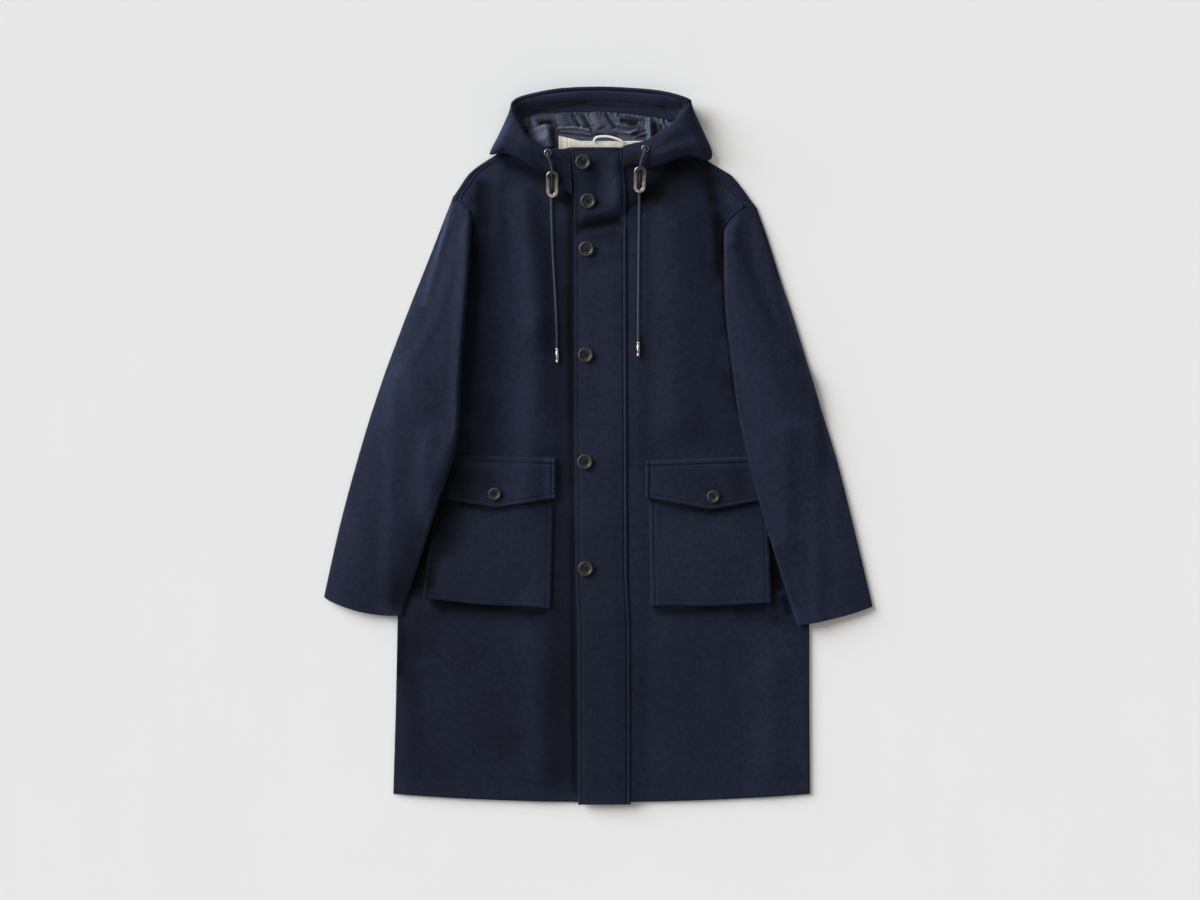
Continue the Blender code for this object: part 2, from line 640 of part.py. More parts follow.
def add_back(parent):
    """The back panel, flat on the ground, from the hem to the neck seam."""
    rows = []
    heights = [y for y in ROW_HEIGHTS if y not in BACK_SKIPS_ROWS]
    seams = [point.y for side in (RIGHT, LEFT) for point in ARMHOLE[side][:3]]
    heights += [*sorted(seams), *BACK_SHOULDER_ROWS]
    for y in heights:
        right = at_height(BACK_EDGE[RIGHT], y) + BACK_INSET
        left = at_height(BACK_EDGE[LEFT], y) - BACK_INSET
        xs = [between(right, left, share) for share in BACK_COLUMNS]
        up = 2 * BACK_INSET * (1.0 - ease((y - HEM_Y) / HEM_ROUND))
        rows.append([(x, y - hem_drop(x, y) + up, BACK_TOP) for x in xs])
    cloth_panel("back_panel", rows, BACK_TOP, NAVY_WOOL, parent)


def add_shoulder(side, parent):
    """The back's cloth turned over the shoulder, up to the seam in front of it."""
    rows = []
    for row in SHOULDER[side]:
        across = Vector((row.seam_x - row.fold_x, row.seam_y - row.fold_y))
        seam = across * (1.0 - SEAM_GAP / across.length)
        points = []
        for share in SHOULDER_COLUMNS:
            x = row.fold_x + seam.x * share
            y = row.fold_y + seam.y * share
            points.append((x, y, body_top(x, y)))
        rows.append(points)
    cloth_panel("shoulder_" + side, rows, WOOL, NAVY_WOOL, parent)


def add_placket(parent):
    """The strip that carries the buttonholes, sewn along its left edge."""
    rows = []
    heights = (PLACKET_BOTTOM_Y, *row_heights(LEFT)[1:-1], *PLACKET_TOP_ROWS)
    for y in heights:
        top = PLACKET_TOP_LEAN * ease((y - 0.375) / 0.07)
        xs = [x + placket_lean(y) + top for x in PLACKET_COLUMNS]
        rows.append([(x, y, placket_top(x, y)) for x in xs])
    cloth_panel("placket", rows, WOOL, NAVY_WOOL, parent)


def sleeve_floor(side, x, y):
    """Height that the under half of a sleeve rests at: the coat's side or the ground."""
    lower = y - SLEEVE_BRIDGE
    beyond = abs(x) - abs(at_height(FRONT_EDGE[side], lower))
    off_body = 1.0 - ease((beyond - STEP_DOWN_FROM) / STEP_DOWN_WIDTH)
    beyond_pocket = abs(x) - abs(FLAP[side].far_x)
    on_pocket = 1.0 - ease((beyond_pocket - POCKET_STEP_FROM) / POCKET_STEP_WIDTH)
    on_pocket *= ease((y - POCKET_REST_LOW) / POCKET_REST_LOW_FADE)
    on_pocket *= ease((POCKET_REST_HIGH - y) / POCKET_REST_HIGH_FADE)
    rest = max(body_top(x, y), body_top(x, lower)) + LAYER_GAP
    return (rest + POCKET_RISE * on_pocket) * off_body


def sleeve_points(side):
    """The plan of a sleeve: rows of points from the cap to the cuff, outer edge first."""
    rows = smooth_rows(SLEEVE[side], SLEEVE_STATIONS)
    plan = []
    for index, row in enumerate(rows):
        along = index / (len(rows) - 1)
        dip = CUFF_DIP[side] * ease((along - 0.9) / 0.1)
        points = []
        for share in SLEEVE_COLUMNS:
            x = between(row.outer_x, row.inner_x, share)
            y = between(row.outer_y, row.inner_y, share)
            points.append((x, y - dip * math.sin(math.pi * share) ** 0.7))
        plan.append(points)
    seam = list(reversed(ARMHOLE[side]))
    cap = []
    for share in SLEEVE_COLUMNS:
        place = share * (len(seam) - 1)
        index = min(int(place), len(seam) - 2)
        start, end = seam[index], seam[index + 1]
        cap.append(
            (
                between(start.x, end.x, place - index),
                between(start.y, end.y, place - index) - SEAM_GAP,
            )
        )
    plan[0] = cap
    return plan


def add_sleeve(side, parent):
    """A sleeve's two halves, under and top, which meet along both folds."""
    plan = sleeve_points(side)
    under, top = [], []
    for index, points in enumerate(plan):
        from_cap = ease(index / SLEEVE_CAP_STATIONS)
        lower, upper = [], []
        for share, (x, y) in zip(SLEEVE_COLUMNS, points):
            floor = sleeve_floor(side, x, y) + WOOL
            lower.append((x, y, between(WOOL, floor, from_cap)))
            hollow = SLEEVE_HOLLOW * math.sin(math.pi * share) ** 0.6
            laid = floor + SEAM_GAP + WOOL + hollow
            upper.append((x, y, between(body_top(x, y + 0.004), laid, from_cap)))
        under.append(lower)
        top.append(upper)
    cloth_panel("sleeve_%s_under" % side, under, WOOL, NAVY_WOOL, parent)
    cloth_panel("sleeve_%s_top" % side, top, WOOL, NAVY_WOOL, parent)


def add_hood_side(side, parent):
    """Half of the hood: from the placket over the shoulder and round the crown."""
    rows = []
    for row in smooth_rows(HOOD[side], HOOD_STATIONS):
        points = []
        for share in HOOD_COLUMNS:
            x = between(row.edge_x, row.rim_x, share)
            y = between(row.edge_y, row.rim_y, share)
            z = between(row.edge_z, row.rim_z, share)
            z += max(row.crown, 0.0) * math.sin(math.pi * share) ** 0.7
            points.append((x, y, z))
        rows.append(points)
    cloth_panel("hood_" + side, rows, WOOL, NAVY_WOOL, parent)


def sheet_rows(table, columns, top):
    """Rows of a sheet whose two edges stand in a table by height."""
    rows = []
    for row in table:
        shares = [index / (columns - 1) for index in range(columns)]
        xs = [between(row.right, row.left, share) for share in shares]
        rows.append([(x, row.y, top(x, row.y)) for x in xs])
    return rows


def add_hood_inside(parent):
    """The hood's back on the ground, and what its opening shows: band and lining."""
    back = sheet_rows(HOOD_BACK, 5, lambda x, y: BACK_TOP)
    cloth_panel("hood_back", back, BACK_TOP, NAVY_WOOL, parent)
    rows = []
    for row in HOOD_BAND:
        points = []
        for share in BAND_COLUMNS:
            x = between(row.rim_x, row.in_x, share)
            y = between(row.rim_y, row.in_y, share)
            z = between(row.rim_z, row.in_z, share)
            z -= CHANNEL_DIP * (1.0 - ease(abs(share - CHANNEL_STITCH_AT) / 0.12))
            points.append((x, y, z))
        rows.append(points)
    cloth_panel("hood_facing", rows, FACING, NAVY_WOOL, parent)

    def lining_top(x, y):
        return LINING_TOP + fold_height(LINING_FOLDS, LINING_FADE, x, y)

    lining = sheet_rows(HOOD_LINING, 19, lining_top)
    cloth_panel("hood_lining", lining, SATIN, NAVY_SATIN, parent)


def neck_band_top(y):
    """The neck band leans up from the neck seam to its free edge."""
    return NECK_BAND_LOW + NECK_BAND_LIFT * ease((y - 0.4415) / 0.020)


def add_neck(parent):
    """The cotton band inside the back of the neck, and its hanger loop."""
    rows = []
    for row in NECK_BAND:
        points = []
        for index in range(NECK_BAND_COLUMNS):
            x = between(row.right, row.left, index / (NECK_BAND_COLUMNS - 1))
            y = row.y + row.corner_rise * max(0.0, 1.0 - index / 2)
            points.append((x, y, neck_band_top(y)))
        rows.append(points)
    cloth_panel("neck_band", rows, COTTON, CREAM_COTTON, parent)
    path = smooth_rows(HANGER_LOOP, 13)
    strip = []
    for before, here, after in zip([path[0], *path], path, [*path[1:], path[-1]]):
        along = Vector((after.x - before.x, after.y - before.y)).normalized()
        across = Vector((-along.y, along.x)) * LOOP_WIDTH / 2
        strip.append(
            [
                (here.x - across.x, here.y - across.y, here.z),
                (here.x + across.x, here.y + across.y, here.z),
            ]
        )
    cloth_panel("hanger_loop", strip, COTTON, CREAM_COTTON, parent)


def patch_point(side, across, down):
    """A point of a pocket patch, by its shares across from the middle and down."""
    shape = PATCH[side]
    near = between(shape.near_top, shape.near_bottom, down)
    far = between(shape.far_top, shape.far_bottom, down)
    bottom = between(shape.near_bottom_y, shape.far_bottom_y, across)
    x = between(near, far, across)
    y = between(shape.top_y, bottom, down)
    return x, y


def patch_top(side, x, y, across, down):
    """The patch lies on the front, puffed a little, its outer corner off the coat."""
    base = left_front_top(x, y) if side == LEFT else body_top(x, y)
    puff = PATCH_PUFF * math.sin(math.pi * across) * math.sin(math.pi * down)
    lift = PATCH_CORNER_LIFT[side] * ease(across) * ease((down - 0.55) / 0.45)
    return base + LAYER_GAP + WOOL + puff + lift


def add_pocket(side, parent):
    """A patch pocket and the pointed flap that is sewn above it."""
    rows = []
    for down in PATCH_ROWS:
        points = []
        for across in POCKET_COLUMNS:
            x, y = patch_point(side, across, down)
            points.append((x, y, patch_top(side, x, y, across, down)))
        rows.append(points)
    cloth_panel("pocket_patch_" + side, rows, WOOL, NAVY_WOOL, parent)
    shape = FLAP[side]
    top = left_front_top if side == LEFT else body_top
    rows = []
    height = abs(shape.side_y - shape.near_top_y)
    for down in (0.0, 0.06, FLAP_WELT / height, *FLAP_ROWS):
        points = []
        for across in POCKET_COLUMNS:
            x = between(shape.near_x, shape.far_x, across)
            start = between(shape.near_top_y, shape.far_top_y, across)
            point = 1.0 - 2.0 * abs(across - 0.5)
            end = between(shape.side_y, shape.point_y, point)
            y = between(start, end, down)
            welt = WELT_RISE * (1.0 - ease((down - 0.10) / 0.08))
            puff = PATCH_PUFF * math.sin(math.pi * across) * ease(down / 0.3)
            on_patch = (LAYER_GAP + WOOL) * ease((-0.016 - y) / 0.018)
            z = top(x, y) + on_patch + LAYER_GAP + WOOL + welt + puff
            points.append((x, y, z))
        rows.append(points)
    cloth_panel("pocket_flap_" + side, rows, WOOL, NAVY_WOOL, parent)


def turned_mesh(name, section, steps):
    """A closed solid turned about Z from points of its section (x, z)."""
    mesh = bpy.data.meshes.new(name)
    build = bmesh.new()
    points = [build.verts.new((x, 0.0, z)) for x, z in section]
    for start, end in zip(points, points[1:]):
        build.edges.new((start, end))
    bmesh.ops.spin(
        build,
        geom=build.verts[:] + build.edges[:],
        axis=(0.0, 0.0, 1.0),
        cent=(0.0, 0.0, 0.0),
        steps=steps,
        angle=math.tau,
        use_merge=True,
    )
    bmesh.ops.remove_doubles(build, verts=build.verts, dist=1e-6)
    bmesh.ops.recalc_face_normals(build, faces=build.faces)
    build.to_mesh(mesh)
    build.free()
    mesh.shade_smooth()
    return mesh


def button_mesh(radius):
    """A turned four-hole button with a raised rim, its underside at z = 0."""
    section = [(radius * x, BUTTON_THICKNESS * z) for x, z in BUTTON_PROFILE]
    return turned_mesh("button", section, BUTTON_STEPS)


def hole_cutter(name, radius):
    """Four small pegs in a square, which cut a button's holes."""
    mesh = bpy.data.meshes.new(name)
    build = bmesh.new()
    for quarter in range(4):
        angle = math.tau * (quarter + 0.5) / 4
        pegs = bmesh.ops.create_cone(
            build,
            cap_ends=True,
            segments=6,
            radius1=radius * HOLE_RADIUS_SHARE,
            radius2=radius * HOLE_RADIUS_SHARE,
            depth=BUTTON_THICKNESS * 3,
        )
        offset = Vector((math.cos(angle), math.sin(angle), 0.0))
        offset *= radius * HOLE_OFFSET_SHARE
        bmesh.ops.translate(build, verts=pegs["verts"], vec=offset)
    build.to_mesh(mesh)
    build.free()
    cutter = bpy.data.objects.new(name, mesh)
    bpy.data.collections["cutters"].objects.link(cutter)
    cutter.hide_render = True
    cutter.display_type = "WIRE"
    return cutter


def add_button(name, mesh, radius, place, parent):
    """A button at a place on the cloth, with its four holes."""
    button = add_object(name, mesh.copy(), DARK_HORN, parent)
    button.location = place
    cutter = hole_cutter(name + "_holes", radius)
    cutter.location = place
    cut = button.modifiers.new("holes", "BOOLEAN")
    cut.operation = "DIFFERENCE"
    cut.object = cutter


def add_buttons(parent):
    """Six buttons down the placket and one on each flap."""
    main = button_mesh(BUTTON_RADIUS)
    for index, spot in enumerate(PLACKET_BUTTONS, start=1):
        top = max(
            placket_top(spot.x + dx, spot.y + dy)
            for dx in (-BUTTON_SEAT, 0.0, BUTTON_SEAT)
            for dy in (-BUTTON_SEAT, 0.0, BUTTON_SEAT)
        )
        place = (spot.x, spot.y, top + LAYER_GAP)
        add_button("front_button_%d" % index, main, BUTTON_RADIUS, place, parent)
    small = button_mesh(POCKET_BUTTON_RADIUS)
    for side, spot in POCKET_BUTTONS.items():
        top = body_top(spot.x, spot.y) + 2 * (LAYER_GAP + WOOL) + PATCH_PUFF
        place = (spot.x, spot.y, top + LAYER_GAP)
        add_button("pocket_button_" + side, small, POCKET_BUTTON_RADIUS, place, parent)


def hood_side_top(side, x, y):
    """Height of the hood's side at a point, from the nearest of its own rows."""
    best, height = 1.0, 0.0
    for row in smooth_rows(HOOD[side][:6], 40):
        for step in range(41):
            share = step / 40
            at_x = between(row.edge_x, row.rim_x, share)
            at_y = between(row.edge_y, row.rim_y, share)
            away = math.hypot(at_x - x, at_y - y)
            if away < best:
                best = away
                height = between(row.edge_z, row.rim_z, share)
                height += row.crown * math.sin(math.pi * share) ** 0.7
    return height


def add_eyelet(side, parent):
    """A metal eyelet ring on the hood, where the drawcord comes out."""
    spot = EYELETS[side]
    middle = (EYELET_RADIUS + EYELET_HOLE) / 2
    half = (EYELET_RADIUS - EYELET_HOLE) / 2
    section = []
    for step in range(7):
        angle = math.tau * step / 6
        across = middle + half * math.cos(angle)
        section.append((across, EYELET_THICKNESS / 2 * math.sin(angle)))
    mesh = turned_mesh("eyelet_" + side, section, EYELET_STEPS)
    eyelet = add_object("eyelet_" + side, mesh, AGED_METAL, parent)
    top = hood_side_top(side, spot.x, spot.y)
    eyelet.location = (spot.x, spot.y, top + EYELET_LIFT)
    eyelet.rotation_euler = (math.radians(EYELET_TILT), 0.0, 0.0)


def stadium(width, length, clockwise):
    """Points of a slot-shaped outline: two half rounds and two straight sides."""
    radius = width / 2
    run = length / 2 - radius
    points = []
    for centre_y, start in ((run, 0.0), (-run, math.pi)):
        for step in range(9):
            angle = start + math.pi * step / 8
            points.append(
                (radius * math.cos(angle), centre_y + radius * math.sin(angle))
            )
    return points[::-1] if clockwise else points


def add_toggle(side, parent):
    """The flat metal ring that rides on a drawcord."""
    spot = TOGGLES[side]
    curve = bpy.data.curves.new("toggle_" + side, "CURVE")
    curve.dimensions = "2D"
    curve.fill_mode = "BOTH"
    edge = TOGGLE_EDGE
    curve.extrude = TOGGLE_THICKNESS / 2 - edge
    curve.bevel_depth = edge
    curve.bevel_resolution = 0
    outlines = (
        stadium(TOGGLE_WIDTH - 2 * edge, TOGGLE_LENGTH - 2 * edge, False),
        stadium(SLOT_WIDTH + 2 * edge, SLOT_LENGTH + 2 * edge, True),
    )
    for outline in outlines:
        spline = curve.splines.new("POLY")
        spline.points.add(len(outline) - 1)
        spline.use_cyclic_u = True
        for point, (x, y) in zip(spline.points, outline):
            point.co = (x, y, 0.0, 1.0)
    toggle = add_object("toggle_" + side, curve, AGED_METAL, parent)
    toggle.location = (spot.x, spot.y, spot.z)
    toggle.rotation_euler = (math.radians(spot.tilt), 0.0, math.radians(spot.turn))


def cord_route(points):
    """Points of a cord at even steps along the smooth curve through its route."""
    fine = [Vector(row) for row in smooth_rows(points, 40 * (len(points) - 1) + 1)]
    length = sum((b - a).length for a, b in zip(fine, fine[1:]))
    count = round(length / CORD_STEP)
    route = [fine[0]]
    travelled, wanted = 0.0, length / count
    for start, end in zip(fine, fine[1:]):
        travelled += (end - start).length
        while travelled >= wanted - 1e-9 and len(route) <= count:
            route.append(end)
            wanted += length / count
    return route


def add_drawcord(side, parent):
    """A drawcord's free end as a tube, with its metal tip."""
    name = "drawcord_" + side
    route = cord_route(CORDS[side])
    curve = bpy.data.curves.new(name, "CURVE")
    curve.dimensions = "3D"
    curve.bevel_depth = CORD_RADIUS
    curve.bevel_resolution = 2
    curve.use_fill_caps = True
    spline = curve.splines.new("POLY")
    spline.points.add(len(route) - 1)
    for point, place in zip(spline.points, route):
        point.co = (*place, 1.0)
    add_object(name, curve, BLUE_CORD, parent)

    mesh = bpy.data.meshes.new("aglet_" + side)
    build = bmesh.new()
    bmesh.ops.create_cone(
        build,
        cap_ends=True,
        segments=14,
        radius1=AGLET_RADIUS,
        radius2=AGLET_RADIUS,
        depth=AGLET_LENGTH,
    )
    build.to_mesh(mesh)
    build.free()
    mesh.shade_smooth()
    mesh.set_sharp_from_angle(angle=math.radians(40.0))
    aglet = add_object("aglet_" + side, mesh, AGED_METAL, parent)
    along = (route[-1] - route[-3]).normalized()
    along.z = 0.0
    along.normalize()
    middle = route[-1] + along * (AGLET_LENGTH / 2 + SEAM_GAP)
    middle.z += AGLET_RADIUS - CORD_RADIUS + SEAM_GAP
    aglet.location = middle
    aglet.rotation_mode = "QUATERNION"
    aglet.rotation_quaternion = along.to_track_quat("Z", "Y")


def main():
    """Build the coat, layer by layer, from the ground up."""
    clear_scene()
    coat = bpy.data.collections.new(COLLECTION)
    bpy.context.scene.collection.children.link(coat)
    cutters = bpy.data.collections.new("cutters")
    bpy.context.scene.collection.children.link(cutters)
    parent = bpy.data.objects.new("coat_root", None)
    coat.objects.link(parent)

    add_back(parent)
    for side in (RIGHT, LEFT):
        add_front(side, parent)
        add_shoulder(side, parent)
        add_sleeve(side, parent)
        add_pocket(side, parent)
    add_placket(parent)
    add_hood_inside(parent)
    add_neck(parent)
    for side in (RIGHT, LEFT):
        add_hood_side(side, parent)
        add_eyelet(side, parent)
        add_toggle(side, parent)
        add_drawcord(side, parent)
    add_buttons(parent)


main()
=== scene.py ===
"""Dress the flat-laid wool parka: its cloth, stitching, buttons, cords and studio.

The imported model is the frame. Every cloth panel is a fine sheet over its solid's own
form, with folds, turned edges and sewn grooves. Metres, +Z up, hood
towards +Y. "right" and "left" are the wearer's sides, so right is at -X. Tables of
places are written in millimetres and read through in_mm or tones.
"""

from __future__ import annotations

import logging
import math
from dataclasses import dataclass, field, replace
from enum import Enum
from functools import reduce
from typing import Callable, Iterable, NamedTuple, Sequence, TypeVar

import bmesh
import bpy
import numpy as np
from mathutils import Matrix, Vector


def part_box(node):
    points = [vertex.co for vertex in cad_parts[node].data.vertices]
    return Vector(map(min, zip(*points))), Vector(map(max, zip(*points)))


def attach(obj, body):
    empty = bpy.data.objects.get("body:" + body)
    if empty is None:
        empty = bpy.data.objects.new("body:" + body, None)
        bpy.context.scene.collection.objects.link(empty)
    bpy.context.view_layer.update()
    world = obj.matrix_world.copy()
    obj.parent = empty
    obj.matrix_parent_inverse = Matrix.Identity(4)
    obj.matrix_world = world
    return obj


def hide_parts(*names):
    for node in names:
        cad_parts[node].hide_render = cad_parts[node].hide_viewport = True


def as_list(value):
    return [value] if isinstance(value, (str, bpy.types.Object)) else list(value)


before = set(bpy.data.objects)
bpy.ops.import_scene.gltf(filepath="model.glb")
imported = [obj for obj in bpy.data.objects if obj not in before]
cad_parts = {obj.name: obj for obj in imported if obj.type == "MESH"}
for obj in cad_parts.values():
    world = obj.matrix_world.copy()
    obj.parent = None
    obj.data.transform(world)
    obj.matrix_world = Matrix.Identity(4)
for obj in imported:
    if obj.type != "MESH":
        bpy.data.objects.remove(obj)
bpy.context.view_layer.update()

LOG = logging.getLogger("parka")
BODY = "root"
UV_LAYER = "cloth"
# The attribute for painted light and shade: a tone on each piece's points that darkens or lightens
# its colour where shadow, shading or highlights fall
PAINTED_SHADE_LAYER = "nap_lay"

WOOL = 0.0022
COTTON = 0.0012
CLOTH_WALL = 0.0013
SEAM_GAP = 0.0004
LAYER_GAP = 0.0008
BACK_TOP = 0.0020
EDGE_TOP = BACK_TOP + SEAM_GAP + WOOL
FRONT_TOP = 0.0076
CENTRE_X = 0.006
HEM_Y = -0.522
TOP_Y = 0.442

Heights = Callable[[np.ndarray, np.ndarray], np.ndarray]
Colour = tuple[float, float, float]
Row = TypeVar("Row")


class Side(Enum):
    """The wearer's side."""

    RIGHT = "right"
    LEFT = "left"


class Edge(Enum):
    """An edge of a panel's grid."""

    START = "first column"
    END = "last column"
    LOW = "first row"
    HIGH = "last row"


class Held(Enum):
    """How a sheet of cloth is held."""

    LAID = "laid"
    FOLDED = "folded"
    GATHERED = "gathered"


class Point(NamedTuple):
    """A point of an outline."""

    x: float
    y: float


class Crease(NamedTuple):
    """A soft ridge, or a trough where its height is under 0, along a line."""

    x0: float
    y0: float
    x1: float
    y1: float
    width: float
    height: float
    bow: float = 0.0


class ShoulderRow(NamedTuple):
    """The shoulder's outer fold and the seam in front of it."""

    fold_x: float
    fold_y: float
    seam_x: float
    seam_y: float


class Hem(NamedTuple):
    """The finish of one edge: its roll, its sewn line, and the ridge between."""

    roll: float = 0.0
    sewn_at: float = 0.0
    depth: float = 0.0
    ridge: float = 0.0
    second_at: float = 0.0
    pucker: float = 0.0


class Cut(NamedTuple):
    """What a sheet was cut to: width, length and, if it isn't a rectangle, its area."""

    width: float
    length: float
    area: float | None = None
    held: Held = Held.LAID
    rests_on: tuple[str, ...] = ("back_panel_cloth",)


def ease(t: np.ndarray | float) -> np.ndarray | float:
    """A smooth step: 0 up to t = 0, 1 from t = 1."""
    t = np.clip(t, 0.0, 1.0)
    return t * t * (3.0 - 2.0 * t)


class Ramp(NamedTuple):
    """A smooth step that starts at a value and takes a length, or runs back over one."""

    start: float
    length: float

    def at(self, value: np.ndarray | float) -> np.ndarray | float:
        """How far the step has come at a value, from 0 to 1."""
        return ease((value - self.start) / self.length)


def in_mm(kind: type[Row], *rows: Sequence[float]) -> tuple[Row, ...]:
    """A table of one kind of row, from rows in millimetres."""
    return tuple(kind(*(value / 1000.0 for value in row)) for row in rows)


def tones(*rows: Sequence[float]) -> tuple[Crease, ...]:
    """Stretches of painted light or shade: a crease's row, with the tone in place of its height."""
    table = zip(in_mm(Crease, *rows), rows)
    return tuple(crease._replace(height=row[5]) for crease, row in table)


def by_side(right: object, left: object) -> object:
    """A dataclass field with a value for each side."""
    return field(default_factory=lambda: {Side.RIGHT: right, Side.LEFT: left})


# ---------------------------------------------------------------- the coat's outlines

BODY_EDGE = {
    Side.RIGHT: in_mm(
        Point,
        (-308, -522), (-304, -385), (-301, -240), (-296, -80), (-294, 73), (-275, 92), (-237, 145),
        (-210, 225), (-188.5, 300),
    ),
    Side.LEFT: in_mm(
        Point,
        (318, -522), (317, -385), (317, -268), (315, -80), (312, 73), (288, 92), (246, 145),
        (212, 215), (187.5, 285),
    ),
}
ARMHOLE = {
    Side.RIGHT: in_mm(Point, (-188.5, 346), (-192, 357), (-203, 366), (-211, 371), (-218, 375)),
    Side.LEFT: in_mm(Point, (188.5, 325), (196, 338), (208, 351), (221, 360), (238, 358)),
}
BACK_EDGE = {
    Side.RIGHT: in_mm(Point, (-196, 300), (-197, 346), (-202, 352), (-212, 362), (-219, 371)),
    Side.LEFT: in_mm(Point, (195, 285), (197, 322), (205, 333), (216, 345), (230, 353), (236, 360)),
}
# The sleeves' inner folds, which the fronts rise towards
SLEEVE_FOLD = {
    Side.RIGHT: in_mm(
        Point,
        (-294, -252), (-246, -107), (-211, 4), (-201.5, 154), (-192.5, 272), (-188.5, 346),
    ),
    Side.LEFT: in_mm(
        Point,
        (298, -268), (250, -116), (210, 50), (192, 188), (188.2, 292), (188.5, 325),
    ),
}
SHOULDER = {
    Side.RIGHT: in_mm(
        ShoulderRow,
        (-218, 375, -211, 371), (-209, 388, -206, 381), (-197, 406, -194, 398),
        (-188, 415, -186, 410), (-176, 424, -172, 419.5), (-162, 433, -157, 427.5),
        (-150, 441, -143, 434),
    ),
    Side.LEFT: in_mm(
        ShoulderRow,
        (238, 358, 221, 360), (229, 370, 209, 371), (216, 388, 198, 384), (201, 406, 186, 397),
        (187, 415, 170, 408), (172, 424, 153, 418.5), (157, 434, 138, 429.5),
    ),
}

# ---------------------------------------------- folds, and painted light and shade on the fronts

# The broad folds: x0, y0, x1, y1, width, height and bow
FOLDS = in_mm(
    Crease,
    (-110, 360, -94, 180, 20, 6.6, -3), (-94, 180, -104, -80, 24, 6, -3),
    (-50, 300, -44, -500, 22, -2.8), (-72, 300, -68, 150, 9, -1.2),
    (-146, 320, -150, 40, 22, -3, 4), (-149, 400, -152, 300, 11, 1.2),
    (-190, -270, -197, -505, 52, 2.4), (-94, -250, -88, -500, 28, 3.6),
    (-266, -240, -272, -360, 14, -2.2, 4), (112, 350, 118, 40, 34, 5),
    (180, 330, 190, 120, 18, -3.4, -3), (200, 120, 222, -20, 16, -2.4, -3),
    (264, -330, 258, -505, 22, 2.6), (216, -330, 212, -505, 18, -1.8),
    (120, -280, 122, -480, 40, 1.6), (52, 408, 140, 412, 18, -2.8, -6),
    (-26, 334, 34, 350, 10, -1.4), (18, 412, 18, 372, 16, 1.4), (-26, 268, 34, 274, 12, -0.8),
    (48, 290, 44, 0, 30, 2.6),
)
# The lesser creases
FINE_CREASES = in_mm(
    Crease,
    (-149, 395, -140, 270, 6, 0.6, 4), (-166, 330, -160, 215, 9, -0.7, -3),
    (-118, 380, -112, 290, 10, -0.5, 3), (-180, 250, -190, 90, 13, -1.2, 4),
    (-104, 60, -118, -10, 14, 0.7, 3), (-240, -300, -262, -430, 15, -0.8, 6),
    (-120, -290, -112, -400, 18, -0.7, -4), (-280, -380, -284, -510, 10, 0.8, 3),
    (-90, -400, -82, -515, 14, 0.8, 2), (41, 358, 80, 375, 3.6, -1.8, -1),
    (44, 348, 86, 366, 7, 1, -2), (100, 405, 118, 330, 9, 0.7, -4), (160, 330, 166, 200, 12, -1, 4),
    (178, 240, 190, 90, 12, -0.9, -3), (100, 200, 92, 60, 16, -0.6, 5),
    (196, -318, 208, -372, 8, -0.9, 3), (178, -300, 170, -420, 16, 0.8, -4),
    (296, -350, 300, -500, 10, -0.7, 3), (74, -330, 70, -500, 12, -0.7, 2),
    (274, -140, 284, -235, 10.5, -4), (-241, -110, -264, -205, 8, -1.8),
)
PLACKET_CREASES = in_mm(
    Crease,
    (-26, 325.5, 34, 337, 8.5, -4, -1), (-20, 344.5, 34, 353, 8.5, 3.2, -1),
    (27, 428, 28, 362, 10, 3.6, -2), (3, 420, -2, 368, 10, -1.6), (-4, 402, 2, 380, 9, -0.7, 2),
    (-10, 262, 34, 276, 5, -0.6, 1), (-30, 222, 14, 214, 9, 0.4, 2),
    (-4, 168, 36, 160, 10, -0.4, 2), (-28, 40, 26, 52, 10, 0.4, 3), (0, -82, 40, -76, 10, -0.4, 2),
    (-24, -262, 30, -250, 12, 0.4, 3), (4, -330, 10, -420, 14, -0.5, 2),
    (-18, -440, -12, -520, 9, 0.6, 2),
)
